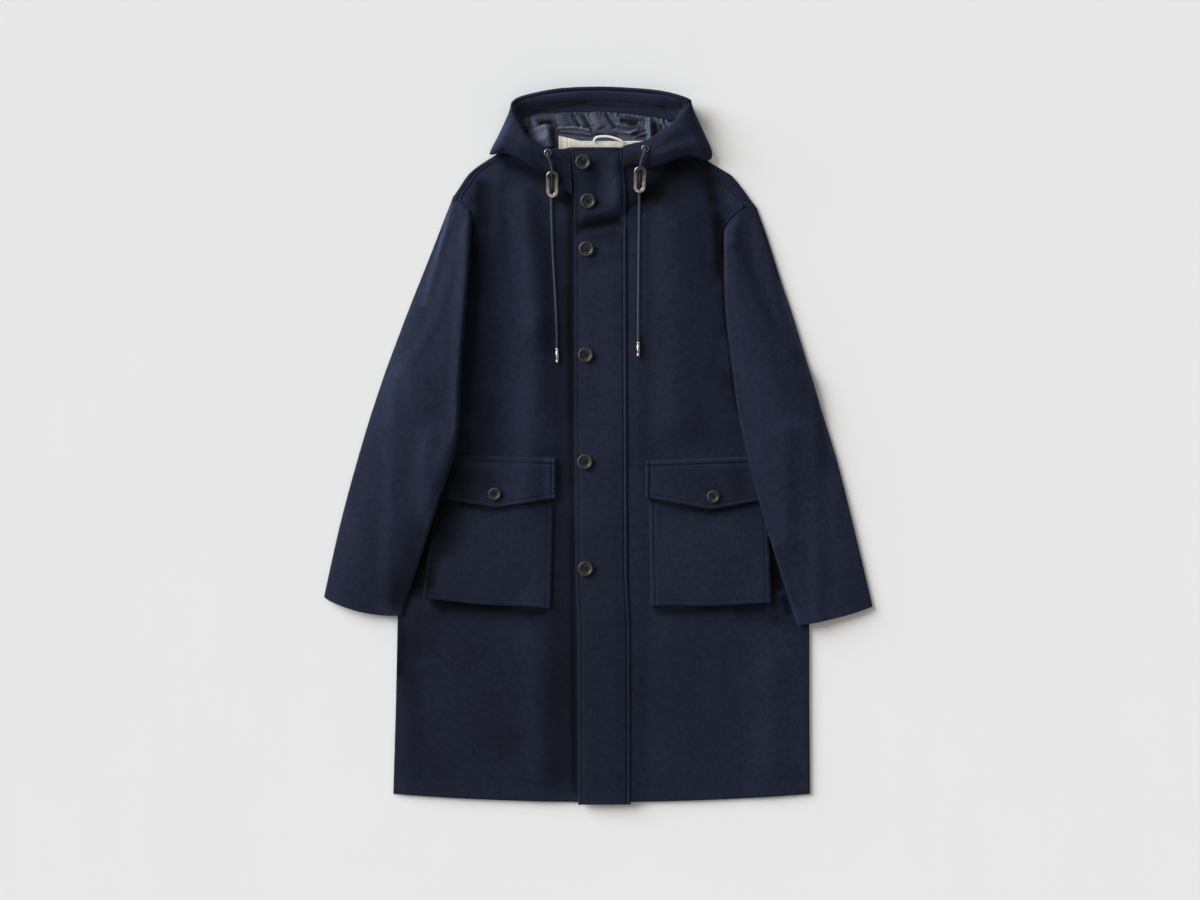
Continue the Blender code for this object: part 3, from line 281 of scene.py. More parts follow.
# Painted light and shade on the fronts: darker where shadow falls beside the sleeves, under the
# hood and along the placket, lighter on lit ridges and where the cords' shadows would fall
PAINTED_SHADING = tones(
    (-200, 320, -218, 0, 30, -0.36, 4), (-188, 200, -200, 50, 18, -0.18),
    (-165, 80, -150, -20, 28, -0.26), (-224, -20, -268, -140, 26, -0.4),
    (-215, -30, -225, -85, 28, -0.4), (-232, -80, -245, -165, 26, -0.34),
    (-192, 0, -198, -85, 24, -0.48), (-226, -85, -234, -165, 25, -0.4),
    (-250, -165, -255, -228, 13, -0.58), (-262, -150, -276, -225, 10, -0.5),
    (-290, -180, -300, -220, 24, -0.4), (-179, 402, -180, 330, 6, -0.5),
    (-169, 398, -169, 330, 14, -0.56), (-174, 330, -182, 215, 14, -0.22),
    (-58, 320, -52, -60, 22, -0.3), (-42, 405, -41, 40, 6.8, -0.66),
    (-41, 40, -36, -520, 5.2, -0.55), (-182, 300, -184, 0, 16, -0.29),
    (208, -20, 212, -80, 20, -0.34), (150, 50, 200, 0, 50, -0.12),
    (-280, -270, -180, -320, 45, -0.14), (-290, -440, -220, -500, 40, -0.14),
    (-125, -420, -100, -520, 35, -0.2), (100, -280, 230, -300, 50, -0.1),
    (215, -360, 250, -400, 30, -0.15), (-52, -100, -50, -500, 24, -0.26),
    (0, -120, 0, -520, 50, -0.12), (-300, -390, 180, -390, 125, -0.17),
    (-290, -300, -110, -440, 120, -0.12), (-290, -330, -296, -500, 40, -0.14),
    (2, 372, 2, 310, 32, -0.28), (90, 408, 180, 404, 24, -0.66, -4), (52, 398, 98, 392, 19, -0.52),
    (60, 380, 180, 376, 26, -0.2), (62, 395, 74, 345, 10, -0.3), (86, 384, 118, 364, 18, -0.28),
    (164, 404, 176, 350, 13, -0.34), (176, 352, 185, 275, 9, -0.58),
    (43, 359, 80, 375.5, 3.4, -0.5, -1), (186, 350, 180, 250, 16, -0.4),
    (200, 240, 212, 60, 22, -0.22), (256.5, -135, 273.5, -216, 7.5, -0.85),
    (260, -175, 264.5, -246, 8, -0.6), (278.5, -223, 286.5, -254, 7, -0.88),
    (246, -20, 256, -70, 10, -0.3), (66.2, 350, 65, 165, 4, 1.4), (110, 425, 168, 420, 10, -0.55),
    (-213, 373, -198, 366, 6, 0.5), (196, 378, 214, 362, 8, 0.5), (181.5, 340, 186, 262, 6, -0.5),
    (-145, 431, -76, 400, 10, -0.8), (-94, 400, -98, 300, 22, -0.16),
    (-44, 400, -46, 362, 10, -0.34), (-73.5, -16, -74.5, -76, 8, 0.8),
    (-30, 327, 34, 340, 8.5, -0.74, -1), (100, 418, 125, 412, 12, -0.35),
    (-196, 374, -184, 366, 8, -0.35), (-60, 385, -46, 360, 7, -0.35), (64, 372, 92, 368, 9, -0.35),
    (166, 375, 184, 365, 9, -0.25), (12, 318, 26, 300, 12, -0.15), (181, 280, 189, 165, 9, -0.34),
    (187.5, 285, 191.5, 190, 3.4, -0.6), (191.5, 190, 208.5, 52, 3.4, -0.5),
    (188, 120, 197, 85, 8, -0.25), (-85, 50, -70, 0, 16, 0.3), (-88, -40, -78, -60, 10, 0.3),
    (-170, -40, -155, -60, 14, -0.3), (-204, -95, -214, -145, 18, -0.16),
    (-256, -190, -252, -212, 6, -0.5), (110, -45, 175, -55, 20, -0.12),
    (-26, 311, 30, 320, 6, -0.28), (-296, -262, -300, -345, 9, -0.6),
    (-285, -275, -262, -310, 20, -0.26), (-8, 425, -4, 375, 20, -0.32),
    (22, 415, 22, 368, 10, 0.34, -2), (43.8, 400, 43.4, -520, 1.8, -0.4),
    (50, 386, 48, 348, 12, -0.42), (70, 380, 100, 378, 14, -0.18),
    (-275, -252, -240, -258, 12, -0.32), (262, -258, 302, -266, 11, -0.34),
    (-246, -150, -257, -198, 16, -0.28), (77, 310, 77, 120, 14, 0.17),
    (-50, 240, -48, 140, 10, -0.18), (170, 110, 185, -110, 70, -0.12),
    (-150, 190, -140, 90, 25, -0.12), (226, -300, 226, -500, 18, -0.12),
    (288, -300, 288, -480, 14, 0.16), (54, 315, 54, -240, 12, 0.24), (52, -240, 52, -520, 12, 0.14),
)
# Painted shadows on the fronts under each pocket's edge and in the gap beside the right patch
PAINTED_POCKET_SHADOWS = tones(
    (-252, -236.5, -160, -242, 7, -0.72), (-160, -242, -76, -249.5, 6.5, -0.66),
    (-240, -244, -90, -256, 13, -0.42), (86, -247, 252, -242.5, 6.5, -0.66),
    (110, -254, 210, -252, 12, -0.22), (205, -252, 270, -256, 13, -0.4),
    (-245, -100, -271, -210, 10, -0.85),
)
# Painted shadows on the patches under each flap's edge
PAINTED_FLAP_SHADOWS = tones(
    (-240, -81, -152, -96.5, 4.4, -0.66), (-152, -96.5, -66, -82, 4.4, -0.66),
    (76, -81, 168, -99.5, 4.4, -0.66), (168, -99.5, 246, -84, 4.4, -0.66),
    (-230, -92, -165, -100, 11, -0.16), (84, -95, 240, -98, 11, -0.16),
)

FOLD_FADE = 0.045
TONE_FADE = 0.035
TONE_FADE_WIDTHS = 1.2
TONE_PAST = 0.5
TONE_LIMITS = (-0.93, 2.6)
TURN_LIMIT = 0.999
RIPPLE_PARTS = ((1.0, 0.5), (1.37, 0.3), (0.61, 0.2))
RIPPLE_SHIFTS = (1.7, 2.3)


def between(
    low: np.ndarray | float, high: np.ndarray | float, t: np.ndarray | float
) -> np.ndarray | float:
    """The value a share t of the way from low to high."""
    return low + (high - low) * t


def bell(away: np.ndarray, width: float) -> np.ndarray:
    """A soft bump: 1 at its middle, fading out on both sides."""
    return np.exp(-((away / width) ** 2))


def turned_down(away: np.ndarray, radius: float) -> np.ndarray:
    """How far a turned edge has dropped at a distance from it, from 1 down to 0."""
    near = 1.0 - np.clip(away / radius, 0.0, 1.0)
    return 1.0 - np.sqrt(1.0 - near**2 * TURN_LIMIT)


def smooth_table(rows: Sequence[Sequence[float]], count: int) -> np.ndarray:
    """Rows at even steps on a smooth curve through a table's own rows.

    Args:
        rows: The table.
        count: How many rows to make.

    Returns:
        An array of count rows.
    """
    table = np.array([tuple(row) for row in rows], float)
    last = len(table) - 1
    place = np.linspace(0.0, last, count)
    index = np.minimum(place.astype(int), last - 1)
    t = (place - index)[:, None]
    before, start = table[np.maximum(index - 1, 0)], table[index]
    end, after = table[index + 1], table[np.minimum(index + 2, last)]
    return (
        (2 * t**3 - 3 * t**2 + 1) * start
        + (t**3 - 2 * t**2 + t) * (end - before) / 2.0
        + (3 * t**2 - 2 * t**3) * end
        + (t**3 - t**2) * (after - start) / 2.0
    )


def crease_height(
    creases: Iterable[Crease], fade: float, x: np.ndarray, y: np.ndarray, past: float = 1.0
) -> np.ndarray:
    """The sum of creases at each point.

    Args:
        creases: Ridges and troughs.
        fade: The length over which each runs out.
        x: The points' x.
        y: The points' y.
        past: The share of that length that lies past the crease's ends.

    Returns:
        The height to add at each point.
    """
    total = np.zeros(np.broadcast(x, y).shape)
    for crease in creases:
        run = np.array((crease.x1 - crease.x0, crease.y1 - crease.y0))
        length = float(np.hypot(*run))
        run = run / length
        along = (x - crease.x0) * run[0] + (y - crease.y0) * run[1]
        across = (x - crease.x0) * run[1] - (y - crease.y0) * run[0]
        t = np.clip(along / length, 0.0, 1.0)
        across = across - crease.bow * 4.0 * t * (1.0 - t)
        reach = past * fade
        ends = ease((along + reach) / fade) * ease((length + reach - along) / fade)
        total += crease.height * ends * bell(across, crease.width)
    return total


def painted_tone_at(table: Iterable[Crease], x: np.ndarray, y: np.ndarray) -> np.ndarray:
    """How much painted light or shade lightens or darkens a cloth at each point.

    Args:
        table: Where it does.
        x: The points' x.
        y: The points' y.

    Returns:
        The tone, 0 where the cloth keeps its own colour.
    """
    total = np.zeros(np.broadcast(x, y).shape)
    for tone in table:
        fade = min(TONE_FADE, TONE_FADE_WIDTHS * tone.width)
        total += crease_height((tone,), fade, x, y, TONE_PAST)
    return np.clip(total, *TONE_LIMITS)


def ripple(along: np.ndarray, pitch: float, seed: int) -> np.ndarray:
    """An uneven wave, the same for each seed.

    Args:
        along: How far along the cloth each point is.
        pitch: The wave's usual length.
        seed: Shifts the wave.

    Returns:
        The wave at each point, from -1 to 1.
    """
    total = np.zeros_like(along)
    by_seed, by_part = RIPPLE_SHIFTS
    for index, (stretch, share) in enumerate(RIPPLE_PARTS):
        phase = seed * by_seed + index * by_part
        total += share * np.sin(math.tau * along / (pitch * stretch) + phase)
    return total


@dataclass
class CoatForm:
    """Heights of the coat's layers over the ground, which every panel follows."""

    edge_round: float = 0.045
    hem_share: float = 0.45
    hem_in: Ramp = Ramp(HEM_Y, 0.050)
    neck_side_x: dict[Side, float] = by_side(-0.128, 0.120)
    neck_rise: float = 0.0030
    neck_up: Ramp = Ramp(0.395, 0.045)
    neck_out: Ramp = Ramp(0.045, 0.050)
    cap_turn: float = -0.2
    cap_drop: float = 0.030
    arm_rise_and_reach: dict[Side, tuple[float, float]] = by_side((0.0070, 0.070), (0.0, 0.030))
    arm_edge: Ramp = Ramp(-0.020, 0.020)
    arm_high: Ramp = Ramp(0.360, -0.060)
    arm_low: Ramp = Ramp(-0.180, 0.130)
    lap_out: Ramp = Ramp(0.046, 0.034)
    placket_sewn: Ramp = Ramp(0.014, 0.028)
    placket_sink: float = 0.62
    swell_lap_out: Ramp = Ramp(0.034, 0.028)
    swell_low: Ramp = Ramp(0.372, -0.040)
    lean_reach: float = 0.003
    lean_chest: Ramp = Ramp(0.35, -0.85)
    lean_hem: Ramp = Ramp(-0.18, -0.1)
    sag: float = 0.012
    sag_half_width: float = 0.311
    sag_height: float = 0.25

    def __post_init__(self) -> None:
        """Work out the edges that the layers end on."""
        self.front_edge = {}
        self.fall_edge = {}
        for side in Side:
            seam = [Point(row.seam_x, row.seam_y) for row in SHOULDER[side][1:]]
            neck = Point(self.neck_side_x[side], TOP_Y)
            self.front_edge[side] = np.array((*BODY_EDGE[side], *ARMHOLE[side][:4], *seam, neck))
            tip, fold = SHOULDER[side][0], ARMHOLE[side][0]
            turn = Point(between(tip.fold_x, fold.x, self.cap_turn), tip.fold_y - self.cap_drop)
            outline = [Point(row.fold_x, row.fold_y) for row in SHOULDER[side]]
            self.fall_edge[side] = np.array((*BODY_EDGE[side], turn, *outline))

    @staticmethod
    def edge_x(edge: np.ndarray, y: np.ndarray) -> np.ndarray:
        """The x of an edge at height y."""
        return np.interp(y, edge[:, 1], edge[:, 0])

    def body_top(self, x: np.ndarray, y: np.ndarray) -> np.ndarray:
        """The upper surface of the fronts, with their broad folds.

        Args:
            x: The points' x.
            y: The points' y.

        Returns:
            Its height at each point.
        """
        right = np.abs(self.edge_x(self.fall_edge[Side.RIGHT], y))
        left = self.edge_x(self.fall_edge[Side.LEFT], y)
        inside = np.where(x < CENTRE_X, right, left) - np.abs(x)
        flat = 1.0 - (1.0 - np.clip(inside / self.edge_round, 0.0, 1.0)) ** 2
        hem = between(self.hem_share, 1.0, self.hem_in.at(y))
        neck = self.neck_rise * self.neck_up.at(y) * (1.0 - self.neck_out.at(np.abs(x)))
        folds = crease_height(FOLDS, FOLD_FADE, x, y) * flat * hem
        made = EDGE_TOP + (FRONT_TOP - EDGE_TOP) * flat * hem + neck + folds
        return made + self.arm_rise(x, y)

    def arm_rise(self, x: np.ndarray, y: np.ndarray) -> np.ndarray:
        """How far the fronts rise towards the arms, under the sleeves.

        Args:
            x: The points' x.
            y: The points' y.

        Returns:
            The height to add at each point.
        """
        total = 0.0
        for side in Side:
            fold = self.edge_x(np.array(SLEEVE_FOLD[side]), y)
            away = (fold - x) * (1.0 if side is Side.LEFT else -1.0)
            rise, reach = self.arm_rise_and_reach[side]
            near = ease(1.0 - away / reach) * self.arm_edge.at(away)
            total = total + rise * near * (self.arm_high.at(y) * self.arm_low.at(y))
        return total

    def left_front_top(self, x: np.ndarray, y: np.ndarray) -> np.ndarray:
        """Height of the left front, which laps over the right one near the middle."""
        return self.body_top(x, y) + (WOOL + LAYER_GAP) * (1.0 - self.lap_out.at(x))

    def placket_top(self, x: np.ndarray, y: np.ndarray) -> np.ndarray:
        """Height of the placket on the left front, which it sinks to at its sewn edge."""
        sunk = 1.0 - self.placket_sink * self.placket_sewn.at(x - self.lean(y))
        return self.left_front_top(x, y) + (LAYER_GAP + WOOL) * sunk

    def swell(self, side: Side, x: np.ndarray, y: np.ndarray) -> np.ndarray:
        """How far what lies on a front is lifted by its folds, below the neck.

        Args:
            side: The wearer's side.
            x: The points' x.
            y: The points' y.

        Returns:
            The lift at each point.
        """
        lap = (WOOL + LAYER_GAP) * (1.0 - self.swell_lap_out.at(x))
        plain = FRONT_TOP + (lap if side is Side.LEFT else 0.0)
        return (self.top(side)(x, y) - plain) * self.swell_low.at(y)

    def top(self, side: Side) -> Heights:
        """The height function of a side's front."""
        return self.left_front_top if side is Side.LEFT else self.body_top

    def lean(self, y: np.ndarray) -> np.ndarray:
        """How far the front's middle strays to the wearer's left at height y."""
        return self.lean_reach * (self.lean_chest.at(y) + self.lean_hem.at(y))

    def hem_drop(self, x: np.ndarray, y: np.ndarray) -> np.ndarray:
        """How far the rows near the hem sag below their height."""
        middle = 1.0 - np.minimum(np.abs(x - CENTRE_X) / self.sag_half_width, 1.0) ** 2
        return self.sag * middle * np.maximum(0.0, 1.0 - (y - HEM_Y) / self.sag_height)


FORM = CoatForm()


# ------------------------------------------------------------------- grids and meshes

STITCHED_STEPS = (
    0.0003, 0.0008, 0.0014, 0.0021, 0.0030, 0.0040, 0.0047,
    0.0053, 0.0059, 0.0065, 0.0072, 0.0080, 0.0092, 0.0110,
)
PLAIN_STEPS = (0.0003, 0.0008, 0.0016, 0.0028, 0.0048)


def shares(
    length: float, step: float, near: Sequence[float] = (), far: Sequence[float] = ()
) -> np.ndarray:
    """Shares from 0 to 1 across a grid, closer together near its ends.

    Args:
        length: The usual length across, in metres.
        step: The spacing away from the ends.
        near: Offsets from the start that get a column of their own.
        far: Offsets from the end that get one.

    Returns:
        The shares in order.
    """
    start = near[-1] if near else 0.0
    stop = length - (far[-1] if far else 0.0)
    count = max(2, round((stop - start) / step))
    middle = np.linspace(start, stop, count + 1)
    places = [0.0, *near, *middle, *(length - d for d in far), length]
    return np.unique(np.round(np.array(places) / length, 6))


def lengths(grid: np.ndarray, axis: int) -> np.ndarray:
    """How far each point is from its grid line's start, along the line.

    Args:
        grid: The points, rows by columns.
        axis: 0 along the columns, 1 along the rows.

    Returns:
        The distances.
    """
    steps = np.linalg.norm(np.diff(grid, axis=axis), axis=2)
    pad = [(0, 0), (0, 0)]
    pad[axis] = (1, 0)
    return np.pad(np.cumsum(steps, axis=axis), pad)


def from_edge(grid: np.ndarray, edge: Edge) -> np.ndarray:
    """How far each point of a grid is from one of its edges.

    Args:
        grid: The points, rows by columns.
        edge: The edge.

    Returns:
        The distances.
    """
    axis = 1 if edge in (Edge.START, Edge.END) else 0
    run = lengths(grid, axis)
    if edge in (Edge.START, Edge.LOW):
        return run
    return (run[:, -1:] if axis == 1 else run[-1:, :]) - run


def soften(height: np.ndarray, passes: int) -> np.ndarray:
    """Spread a grid of heights, as thick cloth does.

    Args:
        height: The heights, rows by columns.
        passes: How many times to spread them.

    Returns:
        The softer heights.
    """
    for _ in range(passes):
        padded = np.pad(height, [(1, 1), (0, 0)], mode="edge")
        height = (padded[:-2] + 2 * height + padded[2:]) / 4
        padded = np.pad(height, [(0, 0), (1, 1)], mode="edge")
        height = (padded[:, :-2] + 2 * height + padded[:, 2:]) / 4
    return height


@dataclass(frozen=True)
class Sewing:
    """How a hem is turned, ridged and sewn."""

    turn_share: float = 0.9
    ridge_power: float = 1.2
    uneven: float = 0.3
    uneven_pitch: float = 0.011
    groove: float = 0.0012
    second_groove: float = 0.0009
    second_share: float = 0.6
    pucker_spread: float = 0.007
    pucker_pitch: float = 0.016
    pucker_seed: int = 7

    def finish(self, grid: np.ndarray, hems: dict[Edge, Hem], seed: int = 1) -> np.ndarray:
        """Turn, ridge and sew the edges of a panel.

        Args:
            grid: The panel's points, rows by columns.
            hems: The finish of each edge that has one.
            seed: Sets the uneven pull of the thread.

        Returns:
            The grid with its heights changed.
        """
        made = grid.copy()
        height = made[..., 2]
        for number, (edge, hem) in enumerate(hems.items()):
            away = from_edge(grid, edge)
            along = lengths(grid, 0 if edge in (Edge.START, Edge.END) else 1)
            if hem.roll:
                height -= self.turn_share * hem.roll * turned_down(away, hem.roll)
            if hem.sewn_at:
                inside = np.clip(away / hem.sewn_at, 0.0, 1.0)
                height += hem.ridge * np.sin(math.pi * inside) ** self.ridge_power
                pull = 1.0 + self.uneven * ripple(along, self.uneven_pitch, seed + number)
                height -= hem.depth * pull * bell(away - hem.sewn_at, self.groove)
                wave = ripple(along, self.pucker_pitch, seed + self.pucker_seed)
                height += hem.pucker * bell(away - hem.sewn_at, self.pucker_spread) * wave
            if hem.second_at:
                groove = bell(away - hem.second_at, self.second_groove)
                height -= self.second_share * hem.depth * groove
        return made


SEWING = Sewing()


def line_at(
    grid: np.ndarray, edge: Edge, inset: float, lift: float, trim: float = 0.002
) -> np.ndarray:
    """A line on a panel at a distance from one edge.

    Args:
        grid: The finished panel.
        edge: The edge that the line follows.
        inset: The distance from it.
        lift: The height over the panel.
        trim: How much to leave off at both ends.

    Returns:
        The line's points.
    """
    away = from_edge(grid, edge)
    if edge in (Edge.LOW, Edge.HIGH):
        away, grid = away.T, grid.transpose(1, 0, 2)
    if edge in (Edge.END, Edge.HIGH):
        away, grid = away[:, ::-1], grid[:, ::-1]
    found = np.array(
        [[np.interp(inset, d, row[:, k]) for k in range(3)] for d, row in zip(away, grid)]
    )
    found[:, 2] += lift
    steps = np.linalg.norm(np.diff(found, axis=0), axis=1)
    run = np.concatenate(([0.0], np.cumsum(steps)))
    return found[(run >= trim) & (run <= run[-1] - trim)]


def grid_mesh(
    name: str, grid: np.ndarray, ring: bool = False, table: Sequence[Crease] = PAINTED_SHADING
) -> bpy.types.Mesh:
    """A sheet of quads through a grid of points, facing up, with UVs in metres.

    Args:
        name: The mesh's name.
        grid: Rows of points.
        ring: Whether the last column joins the first, as on a tube.
        table: Where painted light and shade make the cloth lighter or darker.

    Returns:
        The mesh.
    """
    rows, columns = grid.shape[:2]
    index = np.arange(rows * columns).reshape(rows, columns)
    laid = grid
    if ring:
        index = np.concatenate((index, index[:, :1]), axis=1)
        laid = np.concatenate((grid, grid[:, :1]), axis=1)
    corners = (index[:-1, :-1], index[:-1, 1:], index[1:, 1:], index[1:, :-1])
    faces = np.stack(corners, axis=-1).reshape(-1, 4)
    uv = np.stack((lengths(laid, 1), lengths(laid, 0)), axis=-1)
    parts = (uv[:-1, :-1], uv[:-1, 1:], uv[1:, 1:], uv[1:, :-1])
    uvs = np.stack(parts, axis=2).reshape(-1, 4, 2)
    corner, along, up = laid[:-1, :-1], laid[:-1, 1:], laid[1:, :-1]
    facing = np.cross(along - corner, up - corner)[..., 2]
    if facing[:, : (columns // 2 if ring else columns)].sum() < 0.0:
        faces, uvs = faces[:, ::-1], uvs[:, ::-1]
    mesh = bpy.data.meshes.new(name)
    mesh.from_pydata(grid.reshape(-1, 3).tolist(), [], faces.tolist())
    layer = mesh.uv_layers.new(name=UV_LAYER)
    layer.data.foreach_set("uv", uvs.reshape(-1).astype(np.float32))
    # Painted light and shade, kept on the points for the material to scale the colour by
    painted_shade = mesh.attributes.new(PAINTED_SHADE_LAYER, "FLOAT", "POINT")
    tone = painted_tone_at(table, grid[..., 0], grid[..., 1]).reshape(-1)
    painted_shade.data.foreach_set("value", tone.astype(np.float32))
    mesh.shade_smooth()
    return mesh


def add_piece(name: str, mesh: bpy.types.Mesh, material: bpy.types.Material) -> bpy.types.Object:
    """Put a mesh in the scene with its material.

    Args:
        name: The piece's name.
        mesh: Its mesh.
        material: Its only material.

    Returns:
        The piece.
    """
    piece = bpy.data.objects.new(name, mesh)
    bpy.context.scene.collection.objects.link(piece)
    mesh.materials.clear()
    mesh.materials.append(material)
    return piece


def baked(piece: bpy.types.Object) -> bpy.types.Object:
    """Turn a piece's modifiers into a plain mesh.

    Args:
        piece: The piece.

    Returns:
        The same piece.
    """
    graph = bpy.context.evaluated_depsgraph_get()
    mesh = bpy.data.meshes.new_from_object(piece.evaluated_get(graph))
    piece.modifiers.clear()
    piece.data = mesh
    mesh.name = piece.name
    return piece


def walled(piece: bpy.types.Object, wall: float) -> bpy.types.Object:
    """Give a fine sheet its thickness, below its upper face.

    Args:
        piece: The sheet.
        wall: The thickness.

    Returns:
        The same piece.
    """
    solid = piece.modifiers.new("wall", "SOLIDIFY")
    solid.thickness = wall
    solid.offset = -1.0
    return baked(piece)


def set_in(piece: bpy.types.Object, slot: str, *nodes: str) -> bpy.types.Object:
    """Let a piece ride on the coat, and hide the solids that it stands for.

    Args:
        piece: The piece.
        slot: Not used.
        *nodes: The solids that it stands for.

    Returns:
        The same piece.
    """
    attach(piece, BODY)
    if nodes:
        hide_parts(*nodes)
    LOG.info("%s: %d faces", piece.name, len(piece.data.polygons))
    return piece


def cloth(
    name: str,
    grid: np.ndarray,
    wall: float,
    material: bpy.types.Material,
    cut: Cut,
    nodes: Sequence[str],
    slot: str = "wool",
    ring: bool = False,
    table: Sequence[Crease] = PAINTED_SHADING,
) -> bpy.types.Object:
    """Make one cut piece of cloth: a fine sheet with a wall under it.

    Args:
        name: What the piece is called, before the word cloth.
        grid: The points of its upper or outer face.
        wall: The cloth's thickness.
        material: Its material.
        cut: The flat size that it was cut to.
        nodes: The solids that it stands for.
        slot: Not used.
        ring: Whether it is a tube.
        table: Where painted light and shade make the cloth lighter or darker.

    Returns:
        The piece.
    """
    name = f"{name}_cloth"
    piece = walled(add_piece(name, grid_mesh(name, grid, ring, table), material), wall)
    set_in(piece, slot, *nodes)
    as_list(cut.rests_on)
    return piece


def turned(name: str, section: Sequence[tuple[float, float]], steps: int) -> bpy.types.Mesh:
    """A closed solid turned about Z.

    Args:
        name: The mesh's name.
        section: The points (x, z) that are turned.
        steps: How many steps make the round.

    Returns:
        The mesh.
    """
    mesh = bpy.data.meshes.new(name)
    build = bmesh.new()
    points = [build.verts.new((x, 0.0, z)) for x, z in section]
    for start, end in zip(points, points[1:]):
        build.edges.new((start, end))
    bmesh.ops.spin(
        build, geom=build.verts[:] + build.edges[:], axis=(0.0, 0.0, 1.0),
        cent=(0.0, 0.0, 0.0), steps=steps, angle=math.tau, use_merge=True,
    )
    bmesh.ops.remove_doubles(build, verts=build.verts, dist=1e-6)
    bmesh.ops.recalc_face_normals(build, faces=build.faces)
    build.to_mesh(mesh)
    build.free()
    mesh.shade_smooth()
    return mesh


def centre_of(node: str) -> Vector:
    """The middle of a solid's box."""
    low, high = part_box(node)
    return (low + high) / 2


def turned_about(axis: str, degrees: float) -> Matrix:
    """A turn about one axis."""
    return Matrix.Rotation(math.radians(degrees), 4, axis)


# --------------------------------------------------------------------- geometry nodes


class Tree:
    """A node tree with short ways to add, set and link nodes."""

    def __init__(self, tree: bpy.types.NodeTree) -> None:
        """Wrap a tree."""
        self.tree = tree

    def add(self, kind: str, values: dict | None = None, **settings: object) -> bpy.types.Node:
        """Add a node.

        Args:
            kind: The node's type.
            values: Values, or sockets to join, by the input's name or index.
            **settings: The node's own properties.

        Returns:
            The node.
        """
        node = self.tree.nodes.new(kind)
        for name, setting in settings.items():
            setattr(node, name, setting)
        self.fill(node, values or {})
        return node

    def fill(self, node: bpy.types.Node, values: dict) -> None:
        """Set or join a node's inputs.

        Args:
            node: The node.
            values: Values, or sockets to join, by the input's name or index.
        """
        for title, value in values.items():
            if isinstance(value, bpy.types.NodeSocket):
                self.tree.links.new(value, node.inputs[title])
            else:
                node.inputs[title].default_value = value

    def math(self, operation: str, *terms: bpy.types.NodeSocket | float) -> bpy.types.NodeSocket:
        """Add a Math node on sockets or numbers; returns its output."""
        return self.add("ShaderNodeMath", dict(enumerate(terms)), operation=operation).outputs[0]

    def blend(self, *parts: tuple[bpy.types.NodeSocket, float]) -> bpy.types.NodeSocket:
        """Add values by weight; returns the sum."""
        shares = [self.math("MULTIPLY", part, weight) for part, weight in parts]
        return reduce(lambda total, share: self.math("ADD", total, share), shares)


def new_tree(name: str, kind: str, takes: dict[str, object], gives: dict[str, str]) -> Tree:
    """Start a node group.

    Args:
        name: The group's name.
        kind: Its type, Geometry or Shader.
        takes: Its inputs: a number's own value, or else the kind of input, by name.
        gives: The kind of each output by name.

    Returns:
        The group, with no nodes in it.
    """
    tree = bpy.data.node_groups.new(name, f"{kind}NodeTree")
    for title, value in takes.items():
        number = isinstance(value, float)
        socket = tree.interface.new_socket(
            name=title, in_out="INPUT", socket_type=f"NodeSocket{'Float' if number else value}"
        )
        if number:
            socket.default_value = value
    for title, given in gives.items():
        tree.interface.new_socket(
            name=title, in_out="OUTPUT", socket_type=f"NodeSocket{given}"
        )
    return Tree(tree)


def geometry_tree(name: str, sizes: dict[str, float]) -> Tree:
    """A Geometry Nodes tree that takes in a geometry, sizes and a material."""
    takes = {"Geometry": "Geometry", **sizes, "Material": "Material"}
    return new_tree(name, "Geometry", takes, {"Geometry": "Geometry"})


def run_tree(
    piece: bpy.types.Object, tree: bpy.types.NodeTree, values: dict[str, object]
) -> bpy.types.Object:
    """Run a Geometry Nodes tree on a piece and keep the plain mesh that it makes.

    Args:
        piece: The piece.
        tree: The tree.
        values: Values for the tree's inputs by name.

    Returns:
        The same piece.
    """
    modifier = piece.modifiers.new(tree.name, "NODES")
    modifier.node_group = tree
    for item in tree.interface.items_tree:
        if item.in_out == "INPUT" and item.name in values:
            modifier[item.identifier] = values[item.name]
    return baked(piece)


BEAD_SEGMENTS = 6
BEAD_RINGS = 4
CORD_SEGMENTS = 24
CORD_STRANDS = 4.0


def stitch_tree() -> bpy.types.NodeTree:
    """Stitches at an even pitch along every line of a mesh.

    Returns:
        The tree.
    """
    sizes = {"Pitch": 0.0032, "Stitch Length": 0.0025, "Thread Radius": 0.0003}
    t = geometry_tree("sewn_line", sizes)
    given = t.add("NodeGroupInput").outputs
    line = t.add("GeometryNodeMeshToCurve", {0: given["Geometry"]})
    at = {"Curve": line.outputs[0], "Length": given["Pitch"]}
    spots = t.add("GeometryNodeCurveToPoints", at, mode="LENGTH").outputs
    turn = t.add("FunctionNodeAlignRotationToVector", {"Vector": spots["Tangent"]}, axis="Z")
    beads = {"Segments": BEAD_SEGMENTS, "Rings": BEAD_RINGS, "Radius": 1.0}
    bead = t.add("GeometryNodeMeshUVSphere", beads)
    half = t.math("MULTIPLY", given["Stitch Length"], 0.5)
    radius = given["Thread Radius"]
    scale = t.add("ShaderNodeCombineXYZ", {0: radius, 1: radius, 2: half})
    size = {"Geometry": bead.outputs["Mesh"], "Scale": scale.outputs[0]}
    thread = t.add("GeometryNodeTransform", size)
    placed = {
        "Points": spots["Points"], "Instance": thread.outputs[0], "Rotation": turn.outputs[0],
    }
    rows = t.add("GeometryNodeInstanceOnPoints", placed)
    return finish_tree(t, given["Material"], rows.outputs[0])


def captured(
    t: Tree, curve: bpy.types.NodeSocket, title: str, measure: str
) -> bpy.types.NodeOutputs:
    """Keep a measure of a curve for the mesh that is made from it.

    Args:
        t: The tree.
        curve: The curve.
        title: What the measure is called.
        measure: The output of the Spline Parameter node.

    Returns:
        The curve and then the measure.
    """
    node = t.add("GeometryNodeCaptureAttribute")
    node.capture_items.new("FLOAT", title)
    value = t.add("GeometryNodeSplineParameter").outputs[measure]
    t.fill(node, {0: curve, 1: value})
    return node.outputs


